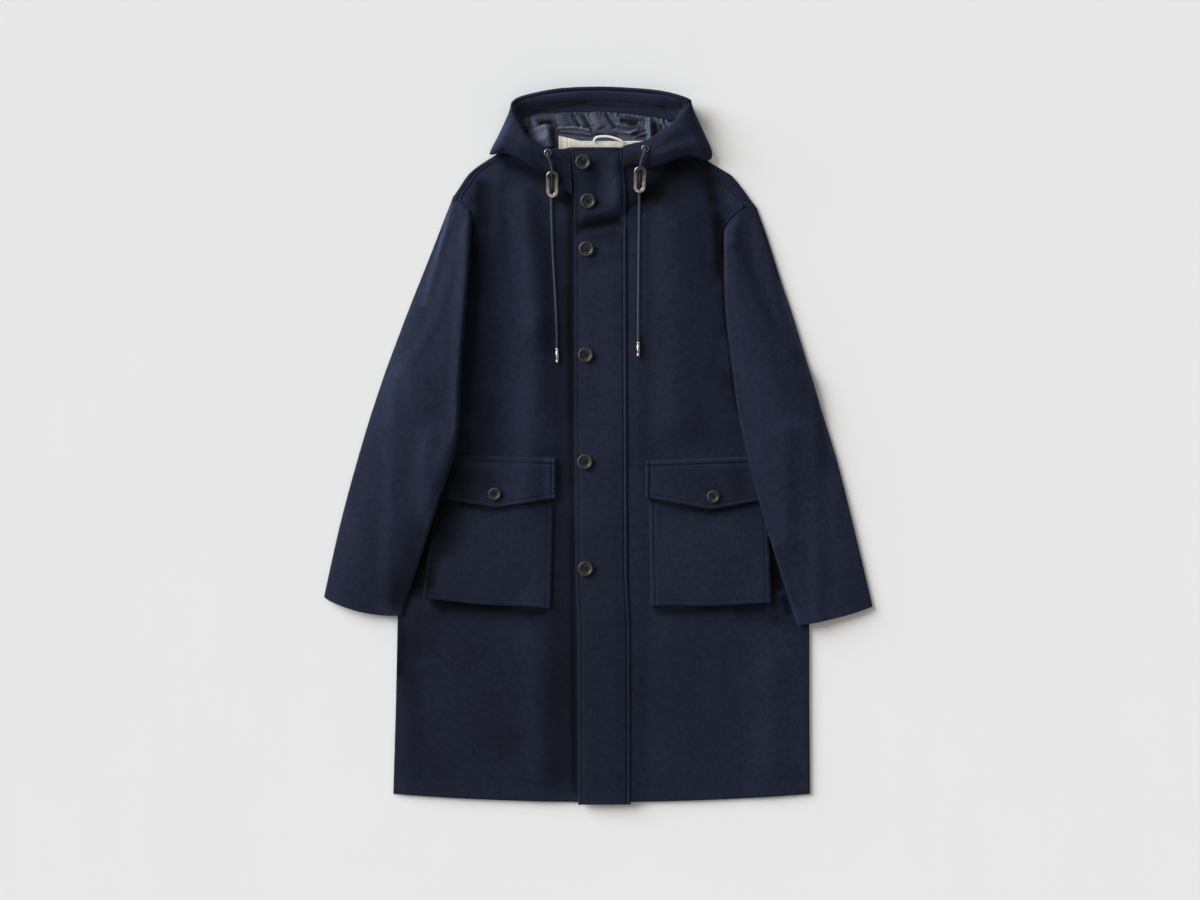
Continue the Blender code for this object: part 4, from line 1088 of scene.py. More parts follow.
def braid_tree() -> bpy.types.NodeTree:
    """A round cord swept along a line, its strands raised in a diamond braid.

    Returns:
        The tree.
    """
    sizes = {"Radius": 0.0019, "Strand": 0.00022, "Braid Pitch": 0.0048, "Step": 0.0005}
    t = geometry_tree("braided_cord", sizes)
    given = t.add("NodeGroupInput").outputs
    line = t.add("GeometryNodeMeshToCurve", {0: given["Geometry"]})
    at = {"Curve": line.outputs[0], "Length": given["Step"]}
    even = t.add("GeometryNodeResampleCurve", at, mode="LENGTH")
    along = captured(t, even.outputs[0], "along", "Length")
    ring = {"Resolution": CORD_SEGMENTS, "Radius": given["Radius"]}
    circle = t.add("GeometryNodeCurvePrimitiveCircle", ring)
    around = captured(t, circle.outputs[0], "around", "Factor")
    swept = {"Curve": along[0], "Profile Curve": around[0], "Fill Caps": True}
    tube = t.add("GeometryNodeCurveToMesh", swept)
    twist = t.math("DIVIDE", along[1], given["Braid Pitch"])
    turns = t.math("MULTIPLY", around[1], CORD_STRANDS)
    strands = []
    for direction in ("ADD", "SUBTRACT"):
        wave = t.math("MULTIPLY", t.math(direction, turns, twist), math.pi)
        strands.append(t.math("ABSOLUTE", t.math("SINE", wave)))
    raised = t.math("MULTIPLY", t.math("MULTIPLY", *strands), given["Strand"])
    out = {0: t.add("GeometryNodeInputNormal").outputs[0], "Scale": raised}
    push = t.add("ShaderNodeVectorMath", out, operation="SCALE")
    shape = {"Geometry": tube.outputs[0], "Offset": push.outputs[0]}
    moved = t.add("GeometryNodeSetPosition", shape)
    return finish_tree(t, given["Material"], moved.outputs[0])


def finish_tree(
    t: Tree, material: bpy.types.NodeSocket, shape: bpy.types.NodeSocket
) -> bpy.types.NodeTree:
    """End a tree: realize its instances, smooth them and set the material.

    Args:
        t: The tree.
        material: The material that it takes in.
        shape: The geometry that it has made.

    Returns:
        The tree.
    """
    real = t.add("GeometryNodeRealizeInstances", {"Geometry": shape})
    smooth = t.add("GeometryNodeSetShadeSmooth", {"Geometry": real.outputs[0]})
    dressed = {"Geometry": smooth.outputs[0], "Material": material}
    t.add("NodeGroupOutput", {0: t.add("GeometryNodeSetMaterial", dressed).outputs[0]})
    return t.tree


def lines_piece(
    name: str, lines: Sequence[np.ndarray], material: bpy.types.Material
) -> bpy.types.Object:
    """A piece of bare lines, for a tree to follow.

    Args:
        name: The piece's name.
        lines: The points of each line.
        material: The material that it keeps.

    Returns:
        The piece.
    """
    mesh = bpy.data.meshes.new(name)
    points, edges = [], []
    for line in lines:
        first = len(points)
        points += [tuple(point) for point in line]
        edges += [(k, k + 1) for k in range(first, len(points) - 1)]
    mesh.from_pydata(points, edges, [])
    return add_piece(name, mesh, material)


# --------------------------------------------------------------------------- finishes


def shader_group(name: str, sizes: dict[str, float]) -> Tree:
    """A shader node group that takes a vector and sizes, and gives a tone and a height."""
    takes = {"Vector": "Vector", **sizes}
    return new_tree(name, "Shader", takes, {"Tone": "Float", "Height": "Float"})


def noise(
    t: Tree,
    vector: bpy.types.NodeSocket,
    scale: bpy.types.NodeSocket | float,
    detail: float = 2.0,
    rough: float = 0.5,
) -> bpy.types.NodeSocket:
    """Add a noise texture; returns its value."""
    values = {"Vector": vector, "Scale": scale, "Detail": detail, "Roughness": rough}
    return t.add("ShaderNodeTexNoise", values).outputs[0]


def stretched(t: Tree, vector: bpy.types.NodeSocket, across: float) -> bpy.types.NodeSocket:
    """Stretch a pattern up and down; returns the place to read it at."""
    values = {"Vector": vector, "Scale": (1.0, across, 1.0)}
    return t.add("ShaderNodeMapping", values).outputs[0]


def nap_group() -> None:
    """Brushed nap: short fibres that lie down the cloth, in soft uneven patches."""
    t = shader_group("brushed_nap", {"Fibre Scale": 900.0, "Patch Scale": 60.0, "Twill": 0.15})
    given = t.add("NodeGroupInput").outputs
    place = given["Vector"]
    lie = stretched(t, place, 0.45)
    fibre = noise(t, lie, given["Fibre Scale"], 3.0, 0.65)
    clump = noise(t, lie, t.math("MULTIPLY", given["Fibre Scale"], 0.22))
    patch = noise(t, place, given["Patch Scale"])
    broad = noise(t, place, 9.0, 1.0)
    bands = {
        "Vector": place, "Scale": 190.0, "Distortion": 2.5, "Detail": 2.0, "Detail Scale": 1.5,
    }
    twill = t.add("ShaderNodeTexWave", bands, wave_type="BANDS", bands_direction="DIAGONAL")
    weave = t.math("MULTIPLY", twill.outputs["Fac"], given["Twill"])
    tone = t.blend((fibre, 0.42), (clump, 0.24), (patch, 0.20), (broad, 0.14), (weave, 0.3))
    height = t.math("ADD", t.blend((fibre, 0.6), (clump, 0.4)), weave)
    t.add("NodeGroupOutput", {"Tone": tone, "Height": height})


def weave_group() -> None:
    """Plain weave: crossing threads, with slubs and soft patches."""
    t = shader_group("plain_weave", {"Thread Scale": 500.0, "Slub Scale": 80.0})
    given = t.add("NodeGroupInput").outputs
    bands = {
        "Vector": given["Vector"], "Scale": given["Thread Scale"], "Distortion": 0.6,
        "Detail": 1.0,
    }
    threads = [
        t.add("ShaderNodeTexWave", bands, wave_type="BANDS", bands_direction=way).outputs["Fac"]
        for way in ("X", "Y")
    ]
    slub = noise(t, given["Vector"], given["Slub Scale"], 3.0)
    cross = t.math("MULTIPLY", *threads)
    height = t.math("ADD", cross, t.math("MULTIPLY", slub, 0.5))
    t.add("NodeGroupOutput", {"Tone": t.blend((cross, 0.35), (slub, 0.65)), "Height": height})


def mottle_group() -> None:
    """Cloudy grain with fine scratches, for resin and old metal."""
    t = shader_group("mottle", {"Cloud Scale": 160.0, "Scratch Scale": 900.0})
    given = t.add("NodeGroupInput").outputs
    place = given["Vector"]
    cloud = noise(t, place, given["Cloud Scale"], 4.0, 0.6)
    scratch = noise(t, stretched(t, place, 0.12), given["Scratch Scale"])
    tone = t.blend((cloud, 0.75), (scratch, 0.25))
    t.add("NodeGroupOutput", {"Tone": tone, "Height": scratch})


class Pattern(Enum):
    """The surface pattern of a finish."""

    NAP = "brushed_nap"
    WEAVE = "plain_weave"
    MOTTLE = "mottle"


@dataclass(frozen=True)
class Finish:
    """One finish: its two tones, its shine, and the pattern that mixes and lifts them."""

    name: str
    shade: Colour
    light: Colour
    pattern: Pattern
    scales: tuple[tuple[str, float], ...]
    roughness: tuple[float, float]
    bump: float
    bump_depth: float
    metallic: float = 0.0
    specular: float = 0.5
    sheen: float = 0.0
    sheen_roughness: float = 0.5
    sheen_tint: Colour = (1.0, 1.0, 1.0)
    coat: float = 0.0
    tones: tuple[float, float] = (0.35, 0.65)
    on_uv: bool = True
    # Whether the colour is scaled by painted light and shade
    takes_painted_shade: bool = False

    def material(self) -> bpy.types.Material:
        """Build the material, or give back the one already built.

        Returns:
            The material.
        """
        made = bpy.data.materials.get(self.name)
        if made:
            return made
        made = bpy.data.materials.new(self.name)
        made.use_nodes = True
        t = Tree(made.node_tree)
        place = (
            t.add("ShaderNodeUVMap", uv_map=UV_LAYER).outputs["UV"]
            if self.on_uv
            else t.add("ShaderNodeTexCoord").outputs["Object"]
        )
        pattern = bpy.data.node_groups[self.pattern.value]
        values = {"Vector": place, **dict(self.scales)}
        group = t.add("ShaderNodeGroup", values, node_tree=pattern).outputs
        low, high = self.roughness
        gloss = {"Value": group["Tone"], "To Min": low, "To Max": high}
        lift = {"Height": group["Height"], "Strength": self.bump, "Distance": self.bump_depth}
        shader = {
            "Base Color": self.colour(t, group["Tone"]),
            "Roughness": t.add("ShaderNodeMapRange", gloss).outputs[0],
            "Normal": t.add("ShaderNodeBump", lift).outputs[0],
            "Metallic": self.metallic,
            "Specular IOR Level": self.specular,
            "Sheen Weight": self.sheen,
            "Sheen Roughness": self.sheen_roughness,
            "Sheen Tint": (*self.sheen_tint, 1.0),
            "Coat Weight": self.coat,
        }
        t.fill(made.node_tree.nodes["Principled BSDF"], shader)
        return made

    def colour(self, t: Tree, tone: bpy.types.NodeSocket) -> bpy.types.NodeSocket:
        """Mix the two tones, and scale them by the painted light and shade on pieces that take it.

        Args:
            t: The material's tree.
            tone: The pattern's tone.

        Returns:
            The colour.
        """
        low, high = self.tones
        spread = {"Value": tone, "From Min": low, "From Max": high}
        share = t.add("ShaderNodeMapRange", spread).outputs[0]
        mix = t.add("ShaderNodeMix", {0: share}, data_type="RGBA")
        ends = [socket for socket in mix.inputs if socket.type == "RGBA"]
        for socket, colour in zip(ends, (self.shade, self.light)):
            socket.default_value = (*colour, 1.0)
        out = next(socket for socket in mix.outputs if socket.type == "RGBA")
        if not self.takes_painted_shade:
            return out
        # Painted light and shade: the piece's tone scales the colour
        painted_shade = t.add("ShaderNodeAttribute", attribute_name=PAINTED_SHADE_LAYER).outputs["Fac"]
        values = {0: out, "Scale": t.math("ADD", painted_shade, 1.0)}
        return t.add("ShaderNodeVectorMath", values, operation="SCALE").outputs[0]


NAP_SCALES = (("Fibre Scale", 1300.0), ("Patch Scale", 90.0), ("Twill", 0.12))
WOOL_FINISH = Finish(
    "navy_wool", (0.0055, 0.0078, 0.0162), (0.0178, 0.0224, 0.0450), Pattern.NAP,
    NAP_SCALES, (0.80, 0.95), 0.60, 0.0004, specular=0.10, takes_painted_shade=True,
    sheen=0.09, sheen_roughness=0.38, sheen_tint=(0.42, 0.55, 1.0),
)
# The navy wool again, made lighter: painted light on the band inside the hood's opening
PAINTED_LIGHT_WOOL_FINISH = Finish(
    "navy_wool_inside", (0.0150, 0.0178, 0.0380), (0.0310, 0.0355, 0.0740), Pattern.NAP,
    NAP_SCALES, (0.82, 0.95), 0.5, 0.0004, specular=0.14,
    sheen=0.18, sheen_roughness=0.42, sheen_tint=(0.5, 0.6, 1.0), takes_painted_shade=True,
)
SATIN_FINISH = Finish(
    "slate_satin", (0.054, 0.063, 0.100), (0.105, 0.119, 0.172), Pattern.WEAVE,
    (("Thread Scale", 1600.0), ("Slub Scale", 120.0)), (0.40, 0.50), 0.12, 0.0002,
    specular=0.25, sheen=0.04, takes_painted_shade=True,
)
COTTON_FINISH = Finish(
    "cream_cotton", (0.74, 0.70, 0.60), (0.96, 0.95, 0.91), Pattern.WEAVE,
    (("Thread Scale", 150.0), ("Slub Scale", 90.0)), (0.80, 0.92), 0.5, 0.0003,
    specular=0.25, sheen=0.15, takes_painted_shade=True,
)
CORD_FINISH = Finish(
    "blue_grey_cord", (0.0165, 0.026, 0.042), (0.039, 0.058, 0.086), Pattern.WEAVE,
    (("Thread Scale", 2200.0), ("Slub Scale", 400.0)), (0.62, 0.80), 0.3, 0.0002,
    specular=0.3, sheen=0.12, sheen_tint=(0.6, 0.8, 1.0), on_uv=False,
)
THREAD_FINISH = Finish(
    "navy_thread", (0.0045, 0.0055, 0.011), (0.0125, 0.0155, 0.030), Pattern.WEAVE,
    (("Thread Scale", 2600.0), ("Slub Scale", 500.0)), (0.50, 0.70), 0.3, 0.0001,
    specular=0.16, sheen=0.05, sheen_tint=(0.5, 0.6, 1.0), on_uv=False,
)
DARK_THREAD_FINISH = replace(
    THREAD_FINISH, name="dark_thread", shade=(0.0016, 0.0018, 0.0026),
    light=(0.0050, 0.0058, 0.0085), sheen=0.0,
)
HORN_FINISH = Finish(
    "dark_horn", (0.0085, 0.0083, 0.0087), (0.0460, 0.0440, 0.0425), Pattern.MOTTLE,
    (("Cloud Scale", 190.0), ("Scratch Scale", 1500.0)), (0.38, 0.54), 0.15, 0.0002,
    specular=0.30, coat=0.05, on_uv=False, takes_painted_shade=True,
)
METAL_FINISH = Finish(
    "aged_nickel", (0.26, 0.215, 0.192), (0.68, 0.620, 0.585), Pattern.MOTTLE,
    (("Cloud Scale", 120.0), ("Scratch Scale", 1800.0)), (0.22, 0.38), 0.1, 0.0002,
    metallic=1.0, on_uv=False, takes_painted_shade=True,
)
FLOOR_FINISH = Finish(
    "studio_floor", (0.820, 0.820, 0.820), (0.830, 0.830, 0.830), Pattern.MOTTLE,
    (("Cloud Scale", 3.0), ("Scratch Scale", 20.0)), (0.90, 0.95), 0.0, 0.0002,
    specular=0.0, on_uv=False,
)


def build_groups() -> None:
    """Build the shader groups that the finishes share."""
    for build in (nap_group, weave_group, mottle_group):
        build()


# ----------------------------------------------------------------- the coat's panels

SIDE_EDGE = Hem(roll=0.0026)
SEAM_EDGE = Hem(roll=0.0016, sewn_at=0.0055, depth=0.0004, ridge=0.0009)


@dataclass
class Body:
    """The two fronts, the back panel and the strips turned over the shoulders."""

    step: float = 0.0036
    front_width: float = 0.33
    underlap_x: float = 0.018
    overlap_x: float = -0.034
    crease_fade: float = 0.03
    hem_edge: Hem = Hem(roll=0.0024)
    seam_from: Ramp = Ramp(0.315, 0.010)
    seam_seed: int = 3
    back_steps: tuple[float, float] = (0.012, 0.010)
    back_width: float = 0.6
    back_inset: float = 0.0015
    back_lift_out: Ramp = Ramp(HEM_Y, 0.050)
    neck_y: float = 0.4405
    strip_width: float = 0.012
    strip_step: float = 0.0012
    strip_rows: int = 72
    strip_seam_edge: Hem = Hem(roll=0.0014)
    cuts: dict[str, Cut] = field(
        default_factory=lambda: {
            "front_right": Cut(0.326, 0.964, 0.280),
            "front_left": Cut(0.352, 0.964, 0.301),
            "back_panel": Cut(0.626, 0.963, 0.526, rests_on=()),
            "shoulder_right": Cut(0.012, 0.095, 0.0007),
            "shoulder_left": Cut(0.020, 0.120, 0.0018),
        }
    )

    def front_grid(self, side: Side) -> np.ndarray:
        """The fine surface of a front, with its folds and its turned edges.

        Args:
            side: The wearer's side.

        Returns:
            Rows of points from the hem to the neck, first point at the middle.
        """
        inner = self.underlap_x if side is Side.RIGHT else self.overlap_x
        up = shares(TOP_Y - HEM_Y, self.step, PLAIN_STEPS, PLAIN_STEPS[:3])
        across = shares(self.front_width, self.step, (), STITCHED_STEPS)
        y = np.repeat(between(HEM_Y, TOP_Y, up)[:, None], len(across), axis=1)
        outer = FORM.edge_x(FORM.front_edge[side], y)
        x = between(inner + FORM.lean(y), outer, across[None, :])
        height = FORM.top(side)(x, y) + crease_height(FINE_CREASES, self.crease_fade, x, y)
        height = soften(np.maximum(height, EDGE_TOP), 3)
        grid = np.stack((x, y - FORM.hem_drop(x, y), height), axis=-1)
        grid = SEWING.finish(grid, {Edge.LOW: self.hem_edge})
        plain = SEWING.finish(grid, {Edge.END: SIDE_EDGE})
        sewn = SEWING.finish(grid, {Edge.END: SEAM_EDGE}, self.seam_seed)
        return between(plain, sewn, self.seam_from.at(y)[..., None])

    def back_grid(self) -> np.ndarray:
        """The back panel, flat on the ground.

        Returns:
            Rows of points from the hem to the neck.
        """
        wide, high = self.back_steps
        near = PLAIN_STEPS[1:]
        up = shares(self.neck_y - HEM_Y, high, near, near)
        across = shares(self.back_width, wide, near, near)
        y = np.repeat(between(HEM_Y, self.neck_y, up)[:, None], len(across), axis=1)
        edges = {}
        for side in Side:
            fold = [Point(row.fold_x, row.fold_y) for row in SHOULDER[side][1:]]
            outline = np.array((*BODY_EDGE[side][:-1], *BACK_EDGE[side], *fold))
            edges[side] = FORM.edge_x(outline, y)
        right = edges[Side.RIGHT] + self.back_inset
        left = edges[Side.LEFT] - self.back_inset
        x = between(right, left, across[None, :])
        lift = 2 * self.back_inset * (1.0 - self.back_lift_out.at(y))
        height = np.full_like(x, BACK_TOP)
        return np.stack((x, y - FORM.hem_drop(x, y) + lift, height), axis=-1)

    def shoulder_grid(self, side: Side) -> np.ndarray:
        """The strip over a shoulder.

        Args:
            side: The wearer's side.

        Returns:
            Rows of points, each from the outer fold to the seam.
        """
        rows = smooth_table(SHOULDER[side], self.strip_rows)
        near = PLAIN_STEPS[:3]
        across = shares(self.strip_width, self.strip_step, near, near)[None, :]
        run = rows[:, 2:] - rows[:, :2]
        run *= (1.0 - SEAM_GAP / np.linalg.norm(run, axis=1))[:, None]
        x = rows[:, :1] + run[:, :1] * across
        y = rows[:, 1:2] + run[:, 1:] * across
        grid = np.stack((x, y, FORM.body_top(x, y)), axis=-1)
        return SEWING.finish(grid, {Edge.START: SIDE_EDGE, Edge.END: self.strip_seam_edge})

    def build(self) -> None:
        """Make the panels."""
        wool = WOOL_FINISH.material()
        cuts = self.cuts
        back = self.back_grid()
        cloth("back_panel", back, BACK_TOP, wool, cuts["back_panel"], ["back_panel"])
        table = (*PAINTED_SHADING, *PAINTED_POCKET_SHADOWS)
        for side in Side:
            name = f"front_{side.value}"
            grid = self.front_grid(side)
            cloth(name, grid, CLOTH_WALL, wool, cuts[name], [name], table=table)
            name = f"shoulder_{side.value}"
            strip = self.shoulder_grid(side)
            cloth(name, strip, CLOTH_WALL, wool, cuts[name], [name])


@dataclass
class Placket:
    """The strip over the closed front, with its double-sewn free edge."""

    right_x: float = -0.036
    left_x: float = 0.043
    bottom_y: float = -0.537
    top_y: float = 0.448
    steps: tuple[float, float] = (0.0024, 0.0040)
    top_shift: float = 0.005
    top_shift_in: Ramp = Ramp(0.375, 0.070)
    crease_fade: float = 0.012
    seed: int = 5
    cut: Cut = Cut(0.079, 0.985)
    free_edge: Hem = Hem(0.0015, 0.0058, 0.00045, 0.0003, second_at=0.0024, pucker=0.0001)
    sewn_edge: Hem = Hem(0.0024, 0.0060, 0.0010, 0.0011, pucker=0.00012)
    end_edge: Hem = Hem(0.0016, 0.0060, 0.0004, 0.0003)

    def grid(self) -> np.ndarray:
        """The fine surface of the placket.

        Returns:
            Rows of points from the hem up, first point at the free edge.
        """
        wide, high = self.steps
        near = STITCHED_STEPS
        up = shares(self.top_y - self.bottom_y, high, near, near)
        across = shares(self.left_x - self.right_x, wide, near, near)
        y = between(self.bottom_y, self.top_y, up)[:, None]
        y = np.repeat(y, len(across), axis=1)
        x = between(self.right_x, self.left_x, across[None, :]) + FORM.lean(y)
        x = x - self.top_shift * self.top_shift_in.at(y)
        creases = crease_height(PLACKET_CREASES, self.crease_fade, x, y)
        height = soften(FORM.placket_top(x, y) + creases, 2)
        hems = {
            Edge.START: self.free_edge,
            Edge.END: self.sewn_edge,
            Edge.LOW: self.end_edge,
            Edge.HIGH: self.end_edge,
        }
        return SEWING.finish(np.stack((x, y, height), axis=-1), hems, self.seed)

    def build(self) -> np.ndarray:
        """Make the placket.

        Returns:
            Its grid.
        """
        made = self.grid()
        wool = WOOL_FINISH.material()
        cloth("placket", made, CLOTH_WALL, wool, self.cut, ["placket"])
        return made


class SleeveRow(NamedTuple):
    """A sleeve's station: its outer and inner folds, and its height from one to the other."""

    outer_x: float
    outer_y: float
    inner_x: float
    inner_y: float
    rise_0: float
    rise_20: float
    rise_40: float
    rise_60: float
    rise_80: float
    rise_100: float


SLEEVE_ROWS = {
    Side.RIGHT: in_mm(
        SleeveRow,
        (-218, 375, -188.5, 346, 0, 2, 4, 5.5, 6, 6),
        (-234, 334, -189.5, 318, 0, 4.5, 6.5, 8, 9, 8),
        (-255, 280, -192.5, 272, 0, 5, 8, 10, 11.5, 10.5),
        (-279, 220, -196.5, 213, 0, 5.5, 8.5, 10.5, 12, 11),
        (-302, 160, -201.5, 154, 0, 5.5, 9, 10.5, 12, 11),
        (-324, 100, -205.5, 95, 0, 6, 9.5, 11, 12, 10),
        (-353, 10, -211, 4, 0.5, 7, 10, 11, 10.5, 7),
        (-386, -110, -246, -107, 1, 7.5, 10, 9.5, 6.5, 0.5),
        (-412, -226, -294, -252, 1, 6.5, 7.5, 5.5, 2, 0),
    ),
    Side.LEFT: in_mm(
        SleeveRow,
        (238, 358, 188.5, 325, 0.5, 2.5, 4, 5, 5, 5),
        (255, 310, 188.2, 292, 0.5, 3.5, 5, 6.5, 7, 6.5),
        (274, 250, 189, 240, 1, 4.5, 6.5, 7.5, 7.5, 6),
        (294, 190, 192, 188, 1.5, 5, 7, 7.8, 7.5, 5.5),
        (317, 115, 201, 115, 2, 5.5, 7, 7.8, 7.2, 5), (335, 55, 210, 50, 2, 6, 7.5, 8, 7, 4.5),
        (358, -20, 227, -30, 2, 6.5, 8, 8, 6.5, 3.5),
        (381, -110, 250, -116, 2, 6, 7.5, 7.5, 6, 2.5),
        (412, -240, 298, -268, 1.5, 4.5, 6, 6, 4.5, 1.5),
    ),
}
SLEEVE_CREASES = in_mm(
    Crease,
    (-212, 352, -250, 240, 7, 0.9, 3), (-200, 345, -212, 270, 6, -0.6, 2),
    (-262, 180, -318, 20, 16, 1, 5), (-236, 60, -300, -80, 14, -0.8, 6),
    (-330, -20, -352, -160, 16, 0.3, -4), (-226, 170, -222, 60, 10, 0.8, 3),
    (238, 345, 262, 250, 6, 1, -3), (222, 350, 232, 270, 6, -0.7, -2),
    (206, 330, 206, 240, 7, 0.7, 2), (236, 200, 280, 40, 16, 0.8, -5),
    (286, 120, 330, -60, 20, -0.5, -6), (276, -30, 330, -200, 18, 0.4, 4),
    (232, 120, 240, 20, 10, -0.6, 2),
)
# Painted light and shade on the sleeves: shade along their inner folds and lower parts, painted
# highlights along their outer folds and caps
PAINTED_SLEEVE_SHADING = tones(
    (-295, 115, -285, 85, 12, 0.25), (222, 35, 245, 15, 12, -0.22),
    (-252, -30, -240, -65, 12, -0.25), (-275, -105, -262, -140, 12, -0.3),
    (-325, -190, -285, -215, 16, -0.25), (268, -150, 294, -240, 10, -0.3),
    (-214, 366, -196, 350, 6, 0.4), (-262, 270, -300, 170, 20, 0.12),
    (-300, 170, -360, 0, 16, 0.22), (-290, 130, -330, 30, 30, 0.12), (190, 250, 203, 110, 7, -0.18),
    (203, 110, 228, -30, 7, -0.26), (228, -30, 257, -130, 8, -0.26), (225, 200, 255, 50, 28, 0.12),
    (292, 50, 296, -140, 16, 0.42), (345, -40, 332, -160, 14, 0.42),
    (-219, 45, -238, -60, 10, -0.26), (-238, -60, -262, -130, 14, -0.26),
    (-262, -130, -302, -245, 22, -0.42), (-220, 366, -243, 283, 2.6, 1.7),
    (-243, 283, -264, 210, 6, 0.8), (325, 50, 350, -180, 40, 0.16),
    (326, -150, 338, -262, 18, 0.26), (-332, -222, -266, -238, 16, -0.26),
    (238, 315, 285, 140, 10, 0.2), (-284, 215, -310, 110, 12, 0.18),
    (272, 250, 357, -20, 4.5, 1.2, -2), (357, -20, 410, -240, 4.5, 0.4),
)


@dataclass
class Sleeves:
    """Both sleeves, each one flattened tube with soft folds and an open cuff."""

    length: float = 0.640
    width: float = 0.110
    steps: tuple[float, float] = (0.0038, 0.0050)
    cap_steps: tuple[float, ...] = (*PLAIN_STEPS[:4], 0.0040, 0.0055, 0.0075)
    fold_steps: tuple[float, ...] = (
        0.0002, 0.0006, 0.0012, 0.0020, 0.0030, 0.0042, 0.0058, 0.0076,
    )
    stations: int = 15
    fine_stations: int = 601
    fine_across: int = 101
    cap_share: float = 1.4
    cap_back: float = 0.004
    cap_roll: float = 0.0026
    cap_drop: float = 0.0022
    fold_round: float = 0.0075
    fold_limit: float = 0.9999
    crease_fade: float = 0.03
    cuff_dip: dict[Side, float] = by_side(0.010, 0.004)
    cuff_power: float = 0.7
    cuff_in: Ramp = Ramp(0.9, 0.1)
    pocket_far_x: dict[Side, float] = by_side(0.240, 0.267)
    pocket_rise: float = 2 * (WOOL + LAYER_GAP) + 0.0008
    pocket_out: Ramp = Ramp(0.010, 0.028)
    pocket_low: Ramp = Ramp(-0.190, 0.060)
    pocket_high: Ramp = Ramp(0.045, -0.035)
    body_out: Ramp = Ramp(0.007, 0.026)
    bridge: float = 0.028
    cut: Cut = Cut(0.240, 0.640, 0.138)

    def floor(self, side: Side, x: np.ndarray, y: np.ndarray) -> np.ndarray:
        """What a sleeve rests on: the coat's side, the pocket or the ground.

        Args:
            side: The wearer's side.
            x: The points' x.
            y: The points' y.

        Returns:
            Its height at each point.
        """
        lower = y - self.bridge
        beyond = np.abs(x) - np.abs(FORM.edge_x(FORM.front_edge[side], lower))
        off_body = 1.0 - self.body_out.at(beyond)
        on_pocket = 1.0 - self.pocket_out.at(np.abs(x) - self.pocket_far_x[side])
        on_pocket = on_pocket * self.pocket_low.at(y) * self.pocket_high.at(y)
        rest = np.maximum(FORM.body_top(x, y), FORM.body_top(x, lower)) + LAYER_GAP
        return (rest + self.pocket_rise * on_pocket) * off_body

    def stations_at(self, side: Side, along: np.ndarray) -> np.ndarray:
        """The rows of a sleeve's table at shares along it.

        Args:
            side: The wearer's side.
            along: Shares from the cap to the cuff.

        Returns:
            A row for each share.
        """
        count = self.fine_stations
        table = smooth_table(SLEEVE_ROWS[side], count)
        index = np.clip(along * (count - 1), 0, count - 1)
        return np.stack([np.interp(index, np.arange(count), c) for c in table.T], axis=1)

    def rise(self, side: Side, along: np.ndarray, across: np.ndarray) -> np.ndarray:
        """How far the sleeve's hollow lifts its upper layer.

        Args:
            side: The wearer's side.
            along: Shares from the cap to the cuff.
            across: Shares from the outer fold to the inner one.

        Returns:
            The lift, a row for each share along.
        """
        rows = self.stations_at(side, along)[:, 4:]
        place = np.linspace(0.0, 1.0, self.fine_across)
        made = [smooth_table([(value,) for value in row], len(place))[:, 0] for row in rows]
        return np.array([np.interp(across, place, row) for row in made])

    def plan(self, side: Side, along: np.ndarray, across: np.ndarray) -> np.ndarray:
        """The plan of a sleeve.

        Args:
            side: The wearer's side.
            along: Shares from the cap to the cuff.
            across: Shares from the outer fold to the inner one.

        Returns:
            Rows of (x, y).
        """
        row = self.stations_at(side, along)
        share = across[None, :]
        x = between(row[:, 0:1], row[:, 2:3], share)
        y = between(row[:, 1:2], row[:, 3:4], share)
        seam = np.array(ARMHOLE[side][::-1])
        place = np.linspace(0.0, 1.0, len(seam))
        cap_x = np.interp(across, place, seam[:, 0])[None, :]
        cap_y = np.interp(across, place, seam[:, 1])[None, :] - SEAM_GAP
        from_cap = np.clip(along * (self.stations - 1), 0.0, 1.0)[:, None]
        x, y = between(cap_x, x, from_cap), between(cap_y, y, from_cap)
        dip = self.cuff_dip[side] * self.cuff_in.at(along)[:, None]
        y = y - dip * np.sin(math.pi * share) ** self.cuff_power
        return np.stack((x, y), axis=-1)

    def grid(self, side: Side) -> np.ndarray:
        """The sleeve's tube.

        Args:
            side: The wearer's side.

        Returns:
            Rings of points over the top and back under it, from the cap to the cuff.
        """
        wide, high = self.steps
        along = shares(self.length, high, self.cap_steps, PLAIN_STEPS)
        across = shares(self.width, wide, self.fold_steps, self.fold_steps)
        plan = self.plan(side, along, across)
        x, y = plan[..., 0], plan[..., 1]
        from_cap = ease(along * (self.stations - 1) / self.cap_share)[:, None]
        rest = self.floor(side, x, y)
        laid = rest + 2 * WOOL + SEAM_GAP + self.rise(side, along, across)
        low = rest * from_cap
        rim = between(FORM.body_top(x, y + self.cap_back), laid, from_cap)
        width = np.linalg.norm(plan[:, -1] - plan[:, 0], axis=1)[:, None]
        away = np.minimum(across, 1.0 - across)[None, :] * width
        near_fold = 1.0 - np.clip(away / self.fold_round, 0.0, 1.0)
        curve = np.sqrt(1.0 - near_fold**2 * self.fold_limit)
        folds = crease_height(SLEEVE_CREASES, self.crease_fade, x, y) * from_cap
        middle = (low + rim) / 2
        from_seam = np.concatenate(([0.0], np.cumsum(np.diff(along)))) * self.length
        seam_drop = self.cap_drop * turned_down(from_seam, self.cap_roll)[:, None]
        top = middle + (rim - middle) * curve + folds * curve - seam_drop
        under = middle - (middle - low) * curve
        upper = np.stack((x, y, soften(top, 1)), axis=-1)
        lower = np.stack((x, y, under), axis=-1)[:, -2:0:-1]
        return np.concatenate((upper, lower), axis=1)

